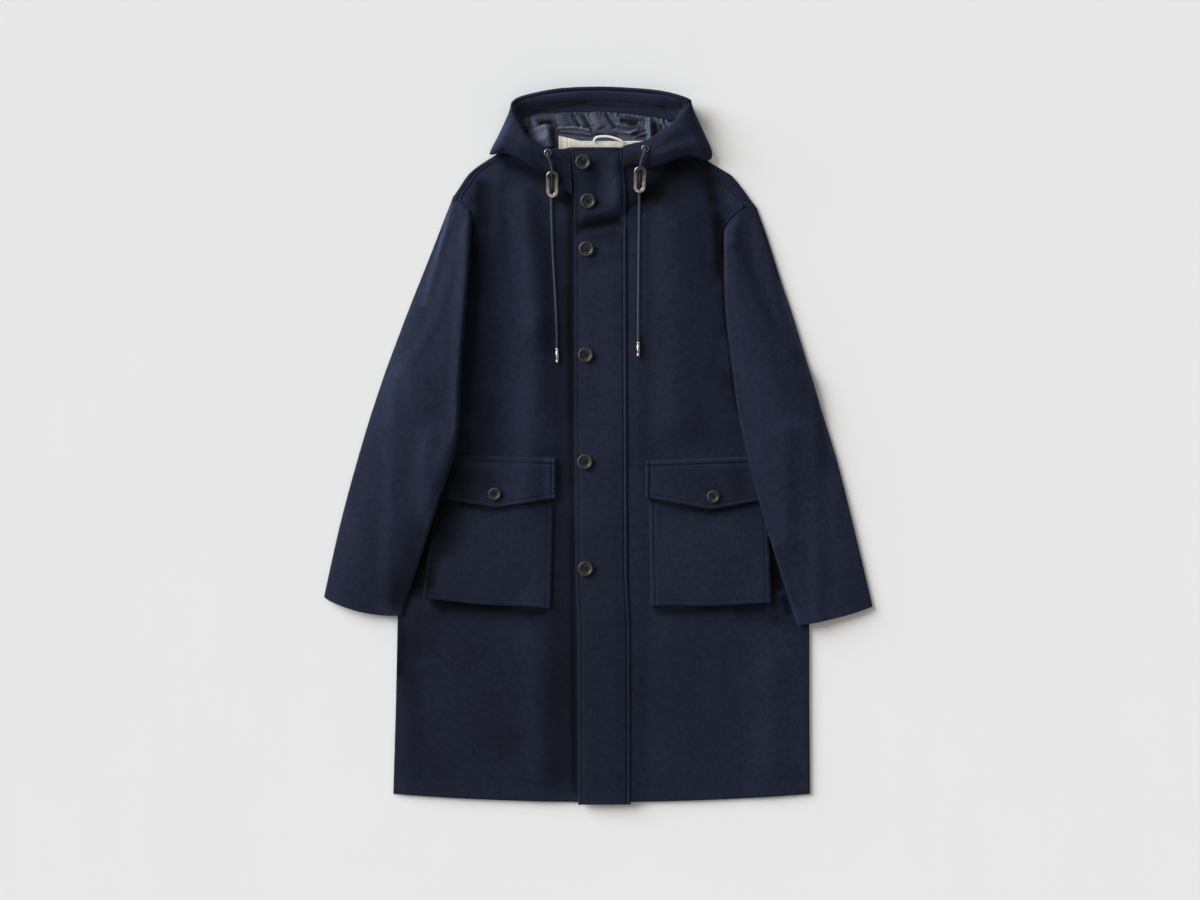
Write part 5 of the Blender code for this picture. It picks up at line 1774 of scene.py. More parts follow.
    def build(self) -> None:
        """Make both sleeves."""
        wool = WOOL_FINISH.material()
        for side in Side:
            name = f"sleeve_{side.value}"
            nodes = [f"{name}_top", f"{name}_under"]
            cloth(
                name, self.grid(side), CLOTH_WALL, wool, self.cut, nodes, ring=True,
                table=PAINTED_SLEEVE_SHADING,
            )


class PatchShape(NamedTuple):
    """The corners of a pocket patch; near is towards the middle of the coat."""

    top_y: float
    near_top: float
    far_top: float
    near_bottom: float
    far_bottom: float
    near_bottom_y: float
    far_bottom_y: float
    corner_lift: float
    seed: int


class FlapShape(NamedTuple):
    """The corners of a pocket flap and its point."""

    near_x: float
    far_x: float
    near_top_y: float
    far_top_y: float
    side_y: float
    point_y: float


@dataclass
class Pockets:
    """The patch pockets and the pointed flaps over them."""

    patches: dict[Side, PatchShape] = by_side(
        PatchShape(-0.030, -0.066, -0.238, -0.071, -0.263, -0.244, -0.229, 0.0040, 11),
        PatchShape(-0.030, 0.075, 0.253, 0.079, 0.260, -0.241, -0.236, 0.0015, 17),
    )
    flaps: dict[Side, FlapShape] = by_side(
        FlapShape(-0.063, -0.240, -0.018, -0.011, -0.078, -0.092),
        FlapShape(0.071, 0.267, -0.021, -0.014, -0.077, -0.095),
    )
    patch_cuts: dict[Side, Cut] = by_side(
        Cut(0.192, 0.214, 0.0377, rests_on=("front_right_cloth",)),
        Cut(0.181, 0.211, 0.0374, rests_on=("front_left_cloth",)),
    )
    flap_cuts: dict[Side, Cut] = by_side(
        Cut(0.177, 0.081, 0.0125, rests_on=("pocket_patch_right_cloth",)),
        Cut(0.196, 0.081, 0.0135, rests_on=("pocket_patch_left_cloth",)),
    )
    patch_edge: Hem = Hem(0.0018, 0.0070, 0.0005, 0.0004, second_at=0.0026, pucker=0.0001)
    flap_edge: Hem = Hem(0.0020, 0.0062, 0.0007, 0.0007, pucker=0.0001)
    welt_edge: Hem = Hem(0.0020, 0.0090, 0.0010, 0.0013)
    width: float = 0.185
    patch_height: float = 0.211
    flap_height: float = 0.066
    step: float = 0.0044
    flap_step: float = 0.0030
    puff: float = 0.0016
    bottom_bend: float = 0.0012
    bottom_waves: tuple[float, float] = (1.2, 0.6)
    corner_low: Ramp = Ramp(0.55, 0.45)
    lip_wave: float = 0.0008
    lip_waves: tuple[float, float] = (2.3, 1.0)
    wave_low: Ramp = Ramp(0.7, 0.3)
    point_round: float = 0.00003
    patch_under: Ramp = Ramp(-0.016, -0.018)
    flap_puff_in: Ramp = Ramp(0.0, 0.3)
    flap_seed: int = 23

    def patch_grid(self, side: Side) -> np.ndarray:
        """The fine surface of a patch.

        Args:
            side: The wearer's side.

        Returns:
            Rows of points from its top down, first point towards the middle.
        """
        shape = self.patches[side]
        near = STITCHED_STEPS
        down = shares(self.patch_height, self.step, (), near)[:, None]
        across = shares(self.width, self.step, near, near)[None, :]
        inner = between(shape.near_top, shape.near_bottom, down)
        outer = between(shape.far_top, shape.far_bottom, down)
        x = between(inner, outer, across)
        bottom = between(shape.near_bottom_y, shape.far_bottom_y, across)
        waves, shift = self.bottom_waves
        bottom = bottom + self.bottom_bend * np.sin(math.tau * waves * across + shift)
        y = between(shape.top_y, bottom, down)
        height = FORM.top(side)(x, y) + LAYER_GAP + WOOL
        height += self.puff * np.sin(math.pi * across) * np.sin(math.pi * down)
        height += shape.corner_lift * ease(across) * self.corner_low.at(down)
        waves, shift = self.lip_waves
        wave = self.lip_wave * np.sin(math.tau * waves * across + shift) * self.wave_low.at(down)
        grid = np.stack((x, y, soften(height + wave, 2)), axis=-1)
        hems = dict.fromkeys((Edge.START, Edge.END, Edge.HIGH), self.patch_edge)
        return SEWING.finish(grid, hems, shape.seed)

    def flap_grid(self, side: Side) -> np.ndarray:
        """The fine surface of a flap.

        Args:
            side: The wearer's side.

        Returns:
            Rows of points from its seam down to its point.
        """
        shape = self.flaps[side]
        near = STITCHED_STEPS
        down = shares(self.flap_height, self.flap_step, near, near)[:, None]
        across = shares(self.width, self.step, near, near)[None, :]
        x = between(shape.near_x, shape.far_x, across)
        start = between(shape.near_top_y, shape.far_top_y, across)
        point = 1.0 - 2.0 * np.sqrt((across - 0.5) ** 2 + self.point_round)
        end = between(shape.side_y, shape.point_y, point)
        y = between(start, end, down)
        x = np.repeat(x, len(down), axis=0)
        on_patch = (LAYER_GAP + WOOL) * self.patch_under.at(y)
        height = FORM.top(side)(x, y) + on_patch + LAYER_GAP + WOOL
        height += self.puff * np.sin(math.pi * across) * self.flap_puff_in.at(down)
        grid = np.stack((x, y, soften(height, 2)), axis=-1)
        hems = dict.fromkeys((Edge.START, Edge.END, Edge.HIGH), self.flap_edge)
        return SEWING.finish(grid, {**hems, Edge.LOW: self.welt_edge}, self.flap_seed)

    def build(self) -> dict[str, np.ndarray]:
        """Make the patches and flaps.

        Returns:
            Their grids by name.
        """
        wool = WOOL_FINISH.material()
        grids = {}
        for side in Side:
            for kind, grid, cut, table in (
                ("patch", self.patch_grid(side), self.patch_cuts[side], (*PAINTED_SHADING, *PAINTED_FLAP_SHADOWS)),
                ("flap", self.flap_grid(side), self.flap_cuts[side], PAINTED_SHADING),
            ):
                name = f"pocket_{kind}_{side.value}"
                grids[name] = grid
                cloth(name, grid, CLOTH_WALL, wool, cut, [name], table=table)
        return grids


# ------------------------------------------------------------------ hood and neck


class HoodRow(NamedTuple):
    """A station of the hood's side: rim of the opening, outer edge, and its arch."""

    rim_x: float
    rim_y: float
    rim_z: float
    edge_x: float
    edge_y: float
    edge_z: float
    crown: float


class BandRow(NamedTuple):
    """A station of the band inside the opening, from the rim to the lining."""

    rim_x: float
    rim_y: float
    rim_z: float
    in_x: float
    in_y: float
    in_z: float


class SpanRow(NamedTuple):
    """A row of a sheet: its height on the plan and its two ends."""

    y: float
    right: float
    left: float


class NeckRow(NamedTuple):
    """A row of the neck's band: its height, its ends, and the lift of its right corner."""

    y: float
    right: float
    left: float
    corner: float


class Place(NamedTuple):
    """A point of a path."""

    x: float
    y: float
    z: float


HOOD_SIDES = {
    Side.RIGHT: in_mm(
        HoodRow,
        (-41.2, 446, 16.5, -38.5, 376, 10.2, 2.6), (-55, 443.5, 18.5, -55, 388, 11.2, 4),
        (-80, 446, 22, -83, 407, 12.5, 5), (-102, 459, 26.5, -120, 428, 16.5, 4.5),
        (-110, 467, 28, -143, 438, 15, 4), (-117, 478, 29.5, -160.5, 436.5, 11.5, 4),
        (-122, 487, 30, -162, 443, 7, 5), (-126, 495, 30, -149, 469, 5, 5),
        (-130, 504, 30, -140, 488, 5, 3), (-129, 514, 30, -127, 511, 5, 0),
        (-114, 523, 30, -111, 519.5, 5, 0), (-72, 532.5, 30, -70, 528.5, 5, 0),
        (-36, 536, 30, -35, 532, 5, 0), (-0.3, 537, 30, -0.3, 533, 5, 0),
    ),
    Side.LEFT: in_mm(
        HoodRow,
        (36.8, 448, 17.5, 38, 416, 15, 2), (55, 453, 18.8, 56, 420, 14, 3.4),
        (72, 457, 21.5, 76, 415, 13.5, 4.8), (99, 473, 26.5, 103, 422, 18.5, 5),
        (114, 482, 29, 135, 433, 19, 4.5), (122, 490, 30, 165, 427, 14.5, 4.5),
        (127, 497, 30, 171, 441, 7, 5), (132, 504, 30, 160, 469, 5, 5),
        (137, 511, 30, 150, 490, 5, 3), (137, 518, 30, 135, 515, 5, 0),
        (112, 527, 30, 110, 523, 5, 0), (82, 532.5, 30, 80, 528.5, 5, 0),
        (34, 536, 30, 34, 532, 5, 0), (0.3, 537, 30, 0.3, 533, 5, 0),
    ),
}
HOOD_BAND = in_mm(
    BandRow,
    (-115, 479, 26.2, -116.5, 476, 10), (-120.5, 492, 28.5, -113.5, 488.5, 8.5),
    (-125.5, 502.5, 29, -105, 496, 8), (-124.5, 512, 29, -89, 500, 8),
    (-106, 520.5, 29, -63, 501, 8), (-68, 527.5, 29, -36, 502, 8), (-32, 531, 29, -12, 502, 8),
    (3, 532, 29, 10, 502, 8), (40, 530.5, 29, 36, 500, 8), (78, 527, 29, 62, 497, 8),
    (112, 523, 29, 87, 493, 8), (132.5, 515, 29, 102, 489, 8),
    (129.5, 503.5, 28.5, 112, 487.5, 8.5), (119.5, 492, 27.5, 117, 484.5, 10),
)
HOOD_BACK = in_mm(
    SpanRow,
    (441.2, -158, 167), (469, -146, 156), (489, -137, 146), (505, -129, 139), (515, -119, 131),
    (524, -94, 104), (531, -40, 42),
)
LINING_SPANS = in_mm(
    SpanRow,
    (442, -68, 66), (453, -88, 80), (464, -106, 100), (475, -116, 112), (486, -118, 118),
    (497, -104, 100), (506, -74, 66),
)
HOOD_CREASES = in_mm(
    Crease,
    (-70, 414, -150, 440, 9, 1.6, 3), (-80, 428, -128, 452, 6, -1.8, -2),
    (-104, 450, -150, 466, 8, -0.8, 2), (-46, 430, -56, 392, 7, -0.6, 2),
    (76, 428, 130, 445, 8, 2, -3), (100, 448, 140, 462, 8, -1.4, -3), (150, 452, 166, 440, 6, 2, 2),
    (126, 466, 156, 478, 9, -0.8, 2),
)
# Painted light and shade on the hood's shell: shade along its lower folds, under its front and in
# the eyelets' holes, lighter on its lit side, ridges and crown
PAINTED_HOOD_SHADING = tones(
    (-128, 462, -102, 452, 11, 0.26), (-75.5, 440, -75.5, 438, 3, -0.85),
    (70, 446, 70, 444, 3, -0.85), (-105, 416, -55, 396, 11, -0.7),
    (-40, 374, -83, 405, 3.6, -0.8, -2), (-83, 405, -122, 426, 3.6, -0.8),
    (-160, 450, -130, 490, 30, 0.5), (170, 450, 140, 500, 30, 0.2),
    (-120, 524, 120, 526, 16, 0.6, 8), (78, 428, 130, 443, 10, 0.3, -3),
    (-80, 428, -128, 452, 8, -0.3, -2),
)
# Painted light and shade on the band inside the rim: shade at its ends and along its seam, lighter
# along its upper part
PAINTED_BAND_SHADING = tones(
    (-90, 521, -30, 527, 8, 0.24), (-126, 506, -119, 482, 11, -0.42),
    (-84, 513, -18, 515.5, 4.8, -0.36), (-104, 503, -22, 514, 2.4, -0.45, 1),
    (-22, 514, 101, 507, 2.4, -0.45, 1), (-130, 498, -114, 516, 12, -0.5),
    (92, 514, 128, 508, 9, -0.4), (118, 519, 134, 500, 10, -0.4), (-80, 504, 60, 506, 4, 0.24, 1),
)
# The satin lining: the turned flap, the gathers under the band and the ledge fold
LINING_CREASES = in_mm(
    Crease,
    (-79, 482, -73, 450, 9.5, 7, 2), (-104, 471, -80, 481.5, 4, 2.2, 1),
    (-63.5, 480, -59, 452, 4, -3, 1), (-100, 494, -94, 482, 5, 4, 1),
    (-90, 488, -70, 487, 4.5, -3, 1), (-56, 498, -50, 482, 8, 2.6, 1),
    (-38.8, 498, -28.8, 480, 2, -3, 1), (-33.5, 498, -23.5, 481, 2.6, 3.4, 1),
    (-24, 498, -13.7, 480, 1.8, -3, 1), (-18.5, 498, -10, 483, 2, 1.6, 1),
    (-5, 500, 3, 480, 7, 3.6, 2), (11.3, 499, 24.7, 478.6, 2.2, -3.2, 1),
    (17, 499, 28, 482, 2.4, 2.6, 1), (27, 499, 33, 490, 2.2, 2.6, 1),
    (35, 490, 59, 487, 4.6, -3, -1), (40, 497, 64, 492, 2, 2.6, -1), (32, 483, 60, 480, 2.4, 3, 2),
    (77.5, 491, 79, 460, 3.4, 5.6, 1), (71, 488, 70, 474, 2, -1.6, 1),
    (85.6, 484, 87, 466, 3.2, -3.4, 1), (87.2, 492, 92.5, 484, 1.6, 2, 1),
    (95, 490, 100, 478, 2.4, 2.8, 1), (103, 489, 109.5, 479, 1.8, 2.6, 1),
    (-60.6, 476.2, -13.7, 474, 1.8, 2.6, -3), (-13.7, 474, 3, 469, 1.8, 2.2),
    (-59, 472.6, -11, 467.8, 1.4, 1.8, -1), (-58, 470, -14, 464, 1.3, -1.4),
    (24.7, 474, 49, 470.5, 2, 2.6, 1), (49, 470.5, 58, 474.5, 1.8, 2.2),
    (53, 468, 70, 473, 1.6, -1.8), (56, 464, 72, 470, 1.5, 1.6),
)
# Painted light and shade on the satin lining: shade in the hollows and folds, painted highlights on
# the turned flap and the gathers' ridges
PAINTED_LINING_SHADING = tones(
    (-89, 486, -64, 487.4, 3.6, -1.6, 1), (-89.5, 485, -88.5, 478.5, 2.8, -0.7),
    (-81.5, 481.2, -73, 480, 2, 0.6), (-90, 494.5, -80, 495, 2, 0.45),
    (-64, 482.5, -50, 479, 4, -0.35), (-95.5, 496, -95.5, 479, 4.6, 1.15),
    (-118, 488, -109, 474, 7.5, -0.75), (-96.5, 477, -80, 483.5, 1.2, 1),
    (-110, 476, -105, 464, 5, -0.25), (-93, 475, -85, 460, 8, 2.3), (-112, 482, -110, 470, 6, -0.7),
    (-117, 480, -106, 483, 1, 0.9), (-114, 474, -108, 478, 1, 0.8), (-60, 496, -42, 486, 7, -0.12),
    (106, 485, 114, 476, 2, 0.6), (-80, 481, -76.5, 466, 3.4, 1.2), (-70, 479, -67, 450, 4.6, -1),
    (-60, 478, -58, 456, 2.6, -0.7), (-37, 498, -27, 479, 2.2, -0.92),
    (-22.5, 498, -11, 474.5, 2.5, -0.85), (12.5, 498, 26, 478, 2.6, -0.8),
    (34, 489.8, 64, 486.2, 4.4, -1.1), (44, 483, 57, 481, 3.4, -0.6),
    (15, 475.5, 51, 476.2, 4, -0.38), (64, 483.5, 70.5, 479, 2.4, 0.5),
    (-54, 474, -37, 469, 4.2, -0.32), (-30, 470, -8, 465, 3, -0.35), (-5, 469, 30, 466, 3.4, -0.7),
    (52, 470, 72, 465, 5, -0.75), (85.6, 484, 87.5, 465.5, 4.6, -1),
    (92.5, 490, 94, 475, 2.4, -0.85), (99.5, 488, 101, 478, 1.6, -0.6), (-4, 496, 3, 484, 7, 0.3),
    (-32.5, 496, -22.5, 481, 2.6, 0.9), (-18.5, 498, -10, 483, 1.6, 0.5),
    (18.5, 498, 30, 482, 2.2, 0.7), (77.5, 478, 79, 460, 3, 0.8), (87.2, 492, 92.5, 484, 1.6, 0.5),
    (95.5, 490, 100.5, 478, 2.2, 0.9), (103.5, 489, 109.5, 479, 1.8, 0.7),
    (-58, 477, -14, 474.5, 1.4, 0.95, -3), (-56, 472.5, -12, 468, 1.3, 0.4, -1),
    (25, 474, 58, 474.5, 1.4, 0.7, 3), (59, 468, 70, 472, 2, 0.4), (-45, 486, -10, 479, 4, -0.25),
    (30, 493, 65, 496, 1.8, 0.5),
)


def unit(vectors: np.ndarray) -> np.ndarray:
    """Rows of plan vectors, each made one metre long."""
    return vectors / np.linalg.norm(vectors, axis=1)[:, None]


@dataclass
class Hood:
    """The open hood: shell, back, the band inside its rim, and the satin lining."""

    middle: Point = Point(0.0, 0.47)
    rim_round: float = 0.0026
    rim_turn: float = 84.0
    rim_stations: int = 112
    shell_width: float = 0.055
    shell_step: float = 0.0024
    crown_power: float = 0.7
    crease_fade: float = 0.02
    crease_ends: tuple[float, float] = (0.02, 0.98)
    edge_turn: float = 150.0
    edge_seat: float = 0.0070
    edge_share: float = 2.2
    edge_rounds: tuple[float, float] = (0.0001, 0.0042)
    fold_points: int = 9
    band_stations: int = 130
    band_width: float = 0.040
    band_step: float = 0.0014
    channel_share: float = 0.53
    channel_groove: float = 0.035
    channel_puff: float = 0.0022
    channel_depth: float = 0.0018
    channel_ripple: tuple[float, float, int] = (0.0003, 0.014, 4)
    band_rim_edge: Hem = Hem(roll=0.0034)
    band_low_edge: Hem = Hem(roll=0.0016)
    band_seed: int = 9
    lining_low: float = 0.0040
    lining_fade: float = 0.004
    scallops: tuple[float, float, int] = (0.0010, 0.0062, 3)
    scallop_reach: float = 0.010
    lining_puff: float = 0.0026
    puff_in: Ramp = Ramp(0.462, 0.020)
    roof_low: float = 0.0026
    roof_rise: float = 0.0110
    roof_knee: float = 0.6
    above_tape: Ramp = Ramp(0.4600, 0.012)
    right_of_tape: Ramp = Ramp(-0.060, -0.006)
    left_of_tape: Ramp = Ramp(0.074, 0.006)
    trough_limit: float = -0.0012
    back_counts: tuple[int, int] = (30, 90)
    lining_counts: tuple[int, int] = (62, 190)
    facing_wall: float = 0.001
    lining_wall: float = 0.0006
    shell_cut: Cut = Cut(0.120, 0.440, 0.026, Held.FOLDED, ("front_right_cloth",))
    band_cut: Cut = Cut(0.042, 0.330, 0.0105, Held.FOLDED, ("hood_lining_cloth",))
    back_cut: Cut = Cut(0.313, 0.092, 0.0246, rests_on=())
    lining_cut: Cut = Cut(0.240, 0.066, 0.0140, Held.GATHERED, ("hood_back_cloth",))

    def shell_grid(self) -> np.ndarray:
        """The shell from its outer edge up to the rim, and rolled in over it.

        Returns:
            Rows of points from under the outer edge to inside the rim.
        """
        right = smooth_table(HOOD_SIDES[Side.RIGHT], self.rim_stations)
        left = smooth_table(HOOD_SIDES[Side.LEFT], self.rim_stations)[::-1]
        rows = np.concatenate((right[:-1], (right[-1:] + left[:1]) / 2, left[1:]))
        rim, edge, crown = rows[:, 0:3], rows[:, 3:6].copy(), rows[:, 6:7]
        near = PLAIN_STEPS[:4]
        share = shares(self.shell_width, self.shell_step, near, near[1:])[None, :]
        tangent = np.gradient(rim[:, :2], axis=0)
        inward = unit(np.stack((-tangent[:, 1], tangent[:, 0]), axis=1))
        facing = (inward * (np.array(self.middle) - rim[:, :2])).sum(axis=1)
        inward *= np.sign(facing)[:, None]
        outward = unit(edge[:, :2] - rim[:, :2])
        edge_round = (edge[:, 2] - self.edge_seat) / self.edge_share
        edge_round = np.clip(edge_round, *self.edge_rounds)
        edge[:, :2] -= outward * edge_round[:, None]
        grid = between(edge[:, None], rim[:, None], share[..., None])
        arch = np.sin(math.pi * share) ** self.crown_power
        grid[..., 2] += np.maximum(crown, 0.0) * arch
        creases = crease_height(HOOD_CREASES, self.crease_fade, grid[..., 0], grid[..., 1])
        grid[..., 2] += np.sin(math.pi * np.clip(share, *self.crease_ends)) * creases
        heading = self.climb(grid[:, -1] - grid[:, -4], inward)
        drop = self.rim_round * np.maximum(0.0, np.sin(heading))[:, None]
        grid[..., 2] -= drop * share**2
        rim_round = np.full(len(rows), self.rim_round)
        over = self.rolled(grid[:, -1], heading, inward, rim_round, self.rim_turn)
        heading = self.climb(grid[:, 0] - grid[:, 3], outward)
        under = self.rolled(grid[:, 0], heading, outward, edge_round, self.edge_turn)
        return np.concatenate((under[:, ::-1], grid, over), axis=1)

    @staticmethod
    def climb(lead: np.ndarray, towards: np.ndarray) -> np.ndarray:
        """How steeply a sheet's last steps climb on their way in a plan direction."""
        return np.arctan2(lead[:, 2], (lead[:, :2] * towards).sum(axis=1))

    def rolled(
        self,
        start: np.ndarray,
        heading: np.ndarray,
        towards: np.ndarray,
        radius: np.ndarray,
        degrees: float,
    ) -> np.ndarray:
        """Points that carry an edge on and down round a soft fold.

        Args:
            start: The edge's points.
            heading: How steeply the sheet climbs where it reaches the edge.
            towards: The plan direction that it runs in.
            radius: The fold's radius at each point.
            degrees: How far past level it turns down.

        Returns:
            The points, a row for each edge point.
        """
        turn = (heading + math.radians(degrees)) / self.fold_points
        points = [start]
        for step in range(self.fold_points):
            at = heading - turn * (step + 0.5)
            point = points[-1].copy()
            point[:, :2] += towards * (np.cos(at) * radius * turn)[:, None]
            point[:, 2] += np.sin(at) * radius * turn
            points.append(point)
        return np.stack(points[1:], axis=1)

    def band_grid(self) -> np.ndarray:
        """The band inside the rim: a puffed cord channel and a flat facing below it.

        Returns:
            Rows of points round the opening, each from the rim to the lining.
        """
        rows = smooth_table(HOOD_BAND, self.band_stations)
        near = PLAIN_STEPS[:4]
        share = shares(self.band_width, self.band_step, near, near)[None, :]
        grid = between(rows[:, None, 0:3], rows[:, None, 3:6], share[..., None])
        sewn = bell(share - self.channel_share, self.channel_groove)
        puff = np.sin(math.pi * np.clip(share / self.channel_share, 0.0, 1.0))
        height, pitch, seed = self.channel_ripple
        along = lengths(grid, 0)
        grid[..., 2] += self.channel_puff * puff - self.channel_depth * sewn
        grid[..., 2] += height * ripple(along, pitch, seed) * sewn
        hems = {Edge.START: self.band_rim_edge, Edge.END: self.band_low_edge}
        return SEWING.finish(grid, hems, self.band_seed)

    def span_grid(
        self, spans: Sequence[SpanRow], counts: tuple[int, int], top: Heights
    ) -> np.ndarray:
        """A sheet between two edges.

        Args:
            spans: The edges by row.
            counts: How many rows and columns to make.
            top: The height at each point.

        Returns:
            The grid.
        """
        rows, columns = counts
        table = smooth_table(spans, rows)
        share = np.linspace(0.0, 1.0, columns)[None, :]
        x = between(table[:, 1:2], table[:, 2:3], share)
        y = np.repeat(table[:, 0:1], columns, axis=1)
        return np.stack((x, y, top(x, y)), axis=-1)

    def lining_top(self, x: np.ndarray, y: np.ndarray) -> np.ndarray:
        """The lining on the hood's back, with its gathers.

        Args:
            x: The points' x.
            y: The points' y.

        Returns:
            Its height at each point, kept below what lies over it.
        """
        edge = np.array([(row.in_x, row.in_y) for row in HOOD_BAND])
        below = np.interp(x, edge[1:-1, 0], edge[1:-1, 1]) - y
        height, pitch, seed = self.scallops
        scallop = height * ripple(x, pitch, seed) * ease(1.0 - below / self.scallop_reach)
        puff = self.lining_puff * self.puff_in.at(y) + scallop
        height = crease_height(LINING_CREASES, self.lining_fade, x, y) + puff
        clear = self.above_tape.at(y) + self.right_of_tape.at(x)
        clear = np.minimum(clear + self.left_of_tape.at(x), 1.0)
        roof = self.roof_low + self.roof_rise * clear
        knee = roof * self.roof_knee
        over = np.maximum(height - knee, 0.0)
        height = np.minimum(height, knee) + over / (1.0 + over / (roof * (1.0 - self.roof_knee)))
        return self.lining_low + np.maximum(height, self.trough_limit)

    def build(self) -> np.ndarray:
        """Make the hood.

        Returns:
            The band's grid.
        """
        wool, inner = WOOL_FINISH.material(), PAINTED_LIGHT_WOOL_FINISH.material()
        flat = self.span_grid(HOOD_BACK, self.back_counts, lambda x, y: np.full_like(x, BACK_TOP))
        cloth("hood_back", flat, BACK_TOP, wool, self.back_cut, ["hood_back"])
        cloth(
            "hood_shell", self.shell_grid(), CLOTH_WALL, wool, self.shell_cut,
            ["hood_right", "hood_left"], table=PAINTED_HOOD_SHADING,
        )
        band = self.band_grid()
        cloth(
            "hood_facing", band, self.facing_wall, inner, self.band_cut, ["hood_facing"],
            table=PAINTED_BAND_SHADING,
        )
        satin = self.span_grid(LINING_SPANS, self.lining_counts, self.lining_top)
        cloth(
            "hood_lining", satin, self.lining_wall, SATIN_FINISH.material(), self.lining_cut,
            ["hood_lining"], slot="satin", table=PAINTED_LINING_SHADING,
        )
        return band


NECK_ROWS = in_mm(NeckRow, (442.8, -59, 70, 0), (450, -59.2, 72, 4), (458, -59.4, 74, 8))
LOOP_PATH = in_mm(
    Place,
    (-6.4, 455.5, 11.8), (-5.8, 460, 12.6), (-2.2, 463.4, 13), (6, 464.6, 13), (16, 464.1, 13),
    (27, 461.2, 13), (34.5, 458, 12.6), (36.8, 454.5, 11.8),
)
# Painted shade on the neck band's left end and on a few small creases
PAINTED_COTTON_SHADE = tones(
    (-58.2, 468, -58.2, 442, 2.6, -0.45), (-55, 464, -54.5, 446, 1, -0.16),
    (-52, 463, -51.2, 446, 0.8, -0.14), (-48, 462, -47.5, 447, 1, -0.1),
    (55, 453, 71, 458.5, 1.2, -0.2),
)


@dataclass
class Neck:
    """The cotton band inside the back of the neck, and the hanger loop on it."""

    columns: int = 110
    rows: int = 16
    corner_share: float = 4.0
    low: float = 0.0074
    rise: float = 0.0030
    rise_in: Ramp = Ramp(0.4415, 0.020)
    waves: tuple[float, float, int] = (0.0003, 0.034, 2)
    waves_in: Ramp = Ramp(0.446, 0.006)
    puckers: tuple[float, float, int] = (0.0006, 0.0046, 6)
    puckers_in: Ramp = Ramp(-0.036, -0.016)
    free_edge: Hem = Hem(0.0009, 0.0024, 0.0003, 0.0002)
    end_edge: Hem = Hem(0.0008)
    seed: int = 31
    wall: float = 0.001
    loop_width: float = 0.0035
    loop_points: tuple[int, int] = (72, 11)
    loop_dome: float = 0.0007
    loop_edge: float = 0.98
    loop_sunk: float = 0.0005
    cut: Cut = Cut(0.146, 0.016, 0.0023, rests_on=("hood_lining_cloth",))

    def band_grid(self) -> np.ndarray:
        """The band's surface, leaning up to its free edge.

        Returns:
            Rows of points from its sewn edge up.
        """
        table = smooth_table(NECK_ROWS, self.rows)
        share = np.linspace(0.0, 1.0, self.columns)[None, :]
        x = between(table[:, 1:2], table[:, 2:3], share)
        y = table[:, 0:1] + table[:, 3:4] * np.maximum(0.0, 1.0 - share * self.corner_share)
        height = self.low + self.rise * self.rise_in.at(y)
        for (rise, pitch, seed), part in (
            (self.waves, self.waves_in.at(y)),
            (self.puckers, self.puckers_in.at(x)),
        ):
            height += rise * ripple(x, pitch, seed) * part
        grid = np.stack((x, y, height), axis=-1)
        hems = {Edge.HIGH: self.free_edge, Edge.START: self.end_edge}
        return SEWING.finish(grid, hems, self.seed)

    def loop_grid(self) -> np.ndarray:
        """The loop's tape, rounded across.

        Returns:
            Rows of points across the tape.
        """
        count, wide = self.loop_points
        path = smooth_table(LOOP_PATH, count)
        along = unit(np.gradient(path, axis=0)[:, :2])
        across = np.stack((-along[:, 1], along[:, 0]), axis=1) * self.loop_width / 2
        share = np.linspace(-1.0, 1.0, wide)
        plan = path[:, None, :2] + across[:, None, :] * share[None, :, None]
        dome = self.loop_dome * np.sqrt(1.0 - self.loop_edge * share**4)[None, :]
        height = path[:, 2:3] + dome - self.loop_sunk
        return np.concatenate((plan, height[..., None]), axis=-1)

    def build(self) -> None:
        """Make the band and its loop."""
        cotton = COTTON_FINISH.material()
        name = "hanger_loop_tape"
        loop = walled(add_piece(name, grid_mesh(name, self.loop_grid()), cotton), COTTON)
        set_in(loop, "cotton", "hanger_loop")
        cloth(
            "neck_band", self.band_grid(), self.wall, cotton, self.cut, ["neck_band"],
            "cotton", False, PAINTED_COTTON_SHADE,
        )


# --------------------------------------------------------------------- cords and metal

CORD_ROUTES = {
    Side.RIGHT: in_mm(
        Place,
        (-75.5, 439.2, 26.4), (-75, 435.5, 28.2), (-74, 432, 28), (-71.5, 426, 25.6),
        (-69.5, 419, 22.8), (-68.8, 411.5, 20.1), (-69, 405, 19.2), (-69.2, 398.5, 19.5),
        (-69.4, 390.5, 17.8), (-69.6, 384, 14.2), (-69.8, 378, 11.3), (-70, 372, 9.4),
        (-70.1, 364, 8.6), (-70, 350, 8.2), (-69.4, 330, 8), (-68.2, 295, 8), (-66, 255, 8),
        (-64, 220, 8), (-62.5, 185, 8), (-61.8, 148, 8.2),
    ),
    Side.LEFT: in_mm(
        Place,
        (70, 445.2, 26.6), (69.7, 441.5, 28.4), (68.8, 438, 28.2), (66.5, 432, 25.8),
        (64.5, 426, 22.8), (63.2, 418.5, 20.1), (62.6, 412, 19.3), (62.2, 405.5, 19.5),
        (62, 397.5, 17.8), (61.8, 391, 14.2), (61.6, 385, 11.4), (61.6, 379, 10), (61.6, 370, 9.8),
        (61.6, 357, 9.8), (61.4, 335, 9.8), (61, 300, 9.8), (60.6, 255, 9.8), (60.2, 210, 9.8),
        (60, 157, 10),
    ),
}


SLOT_END_POINTS = 17


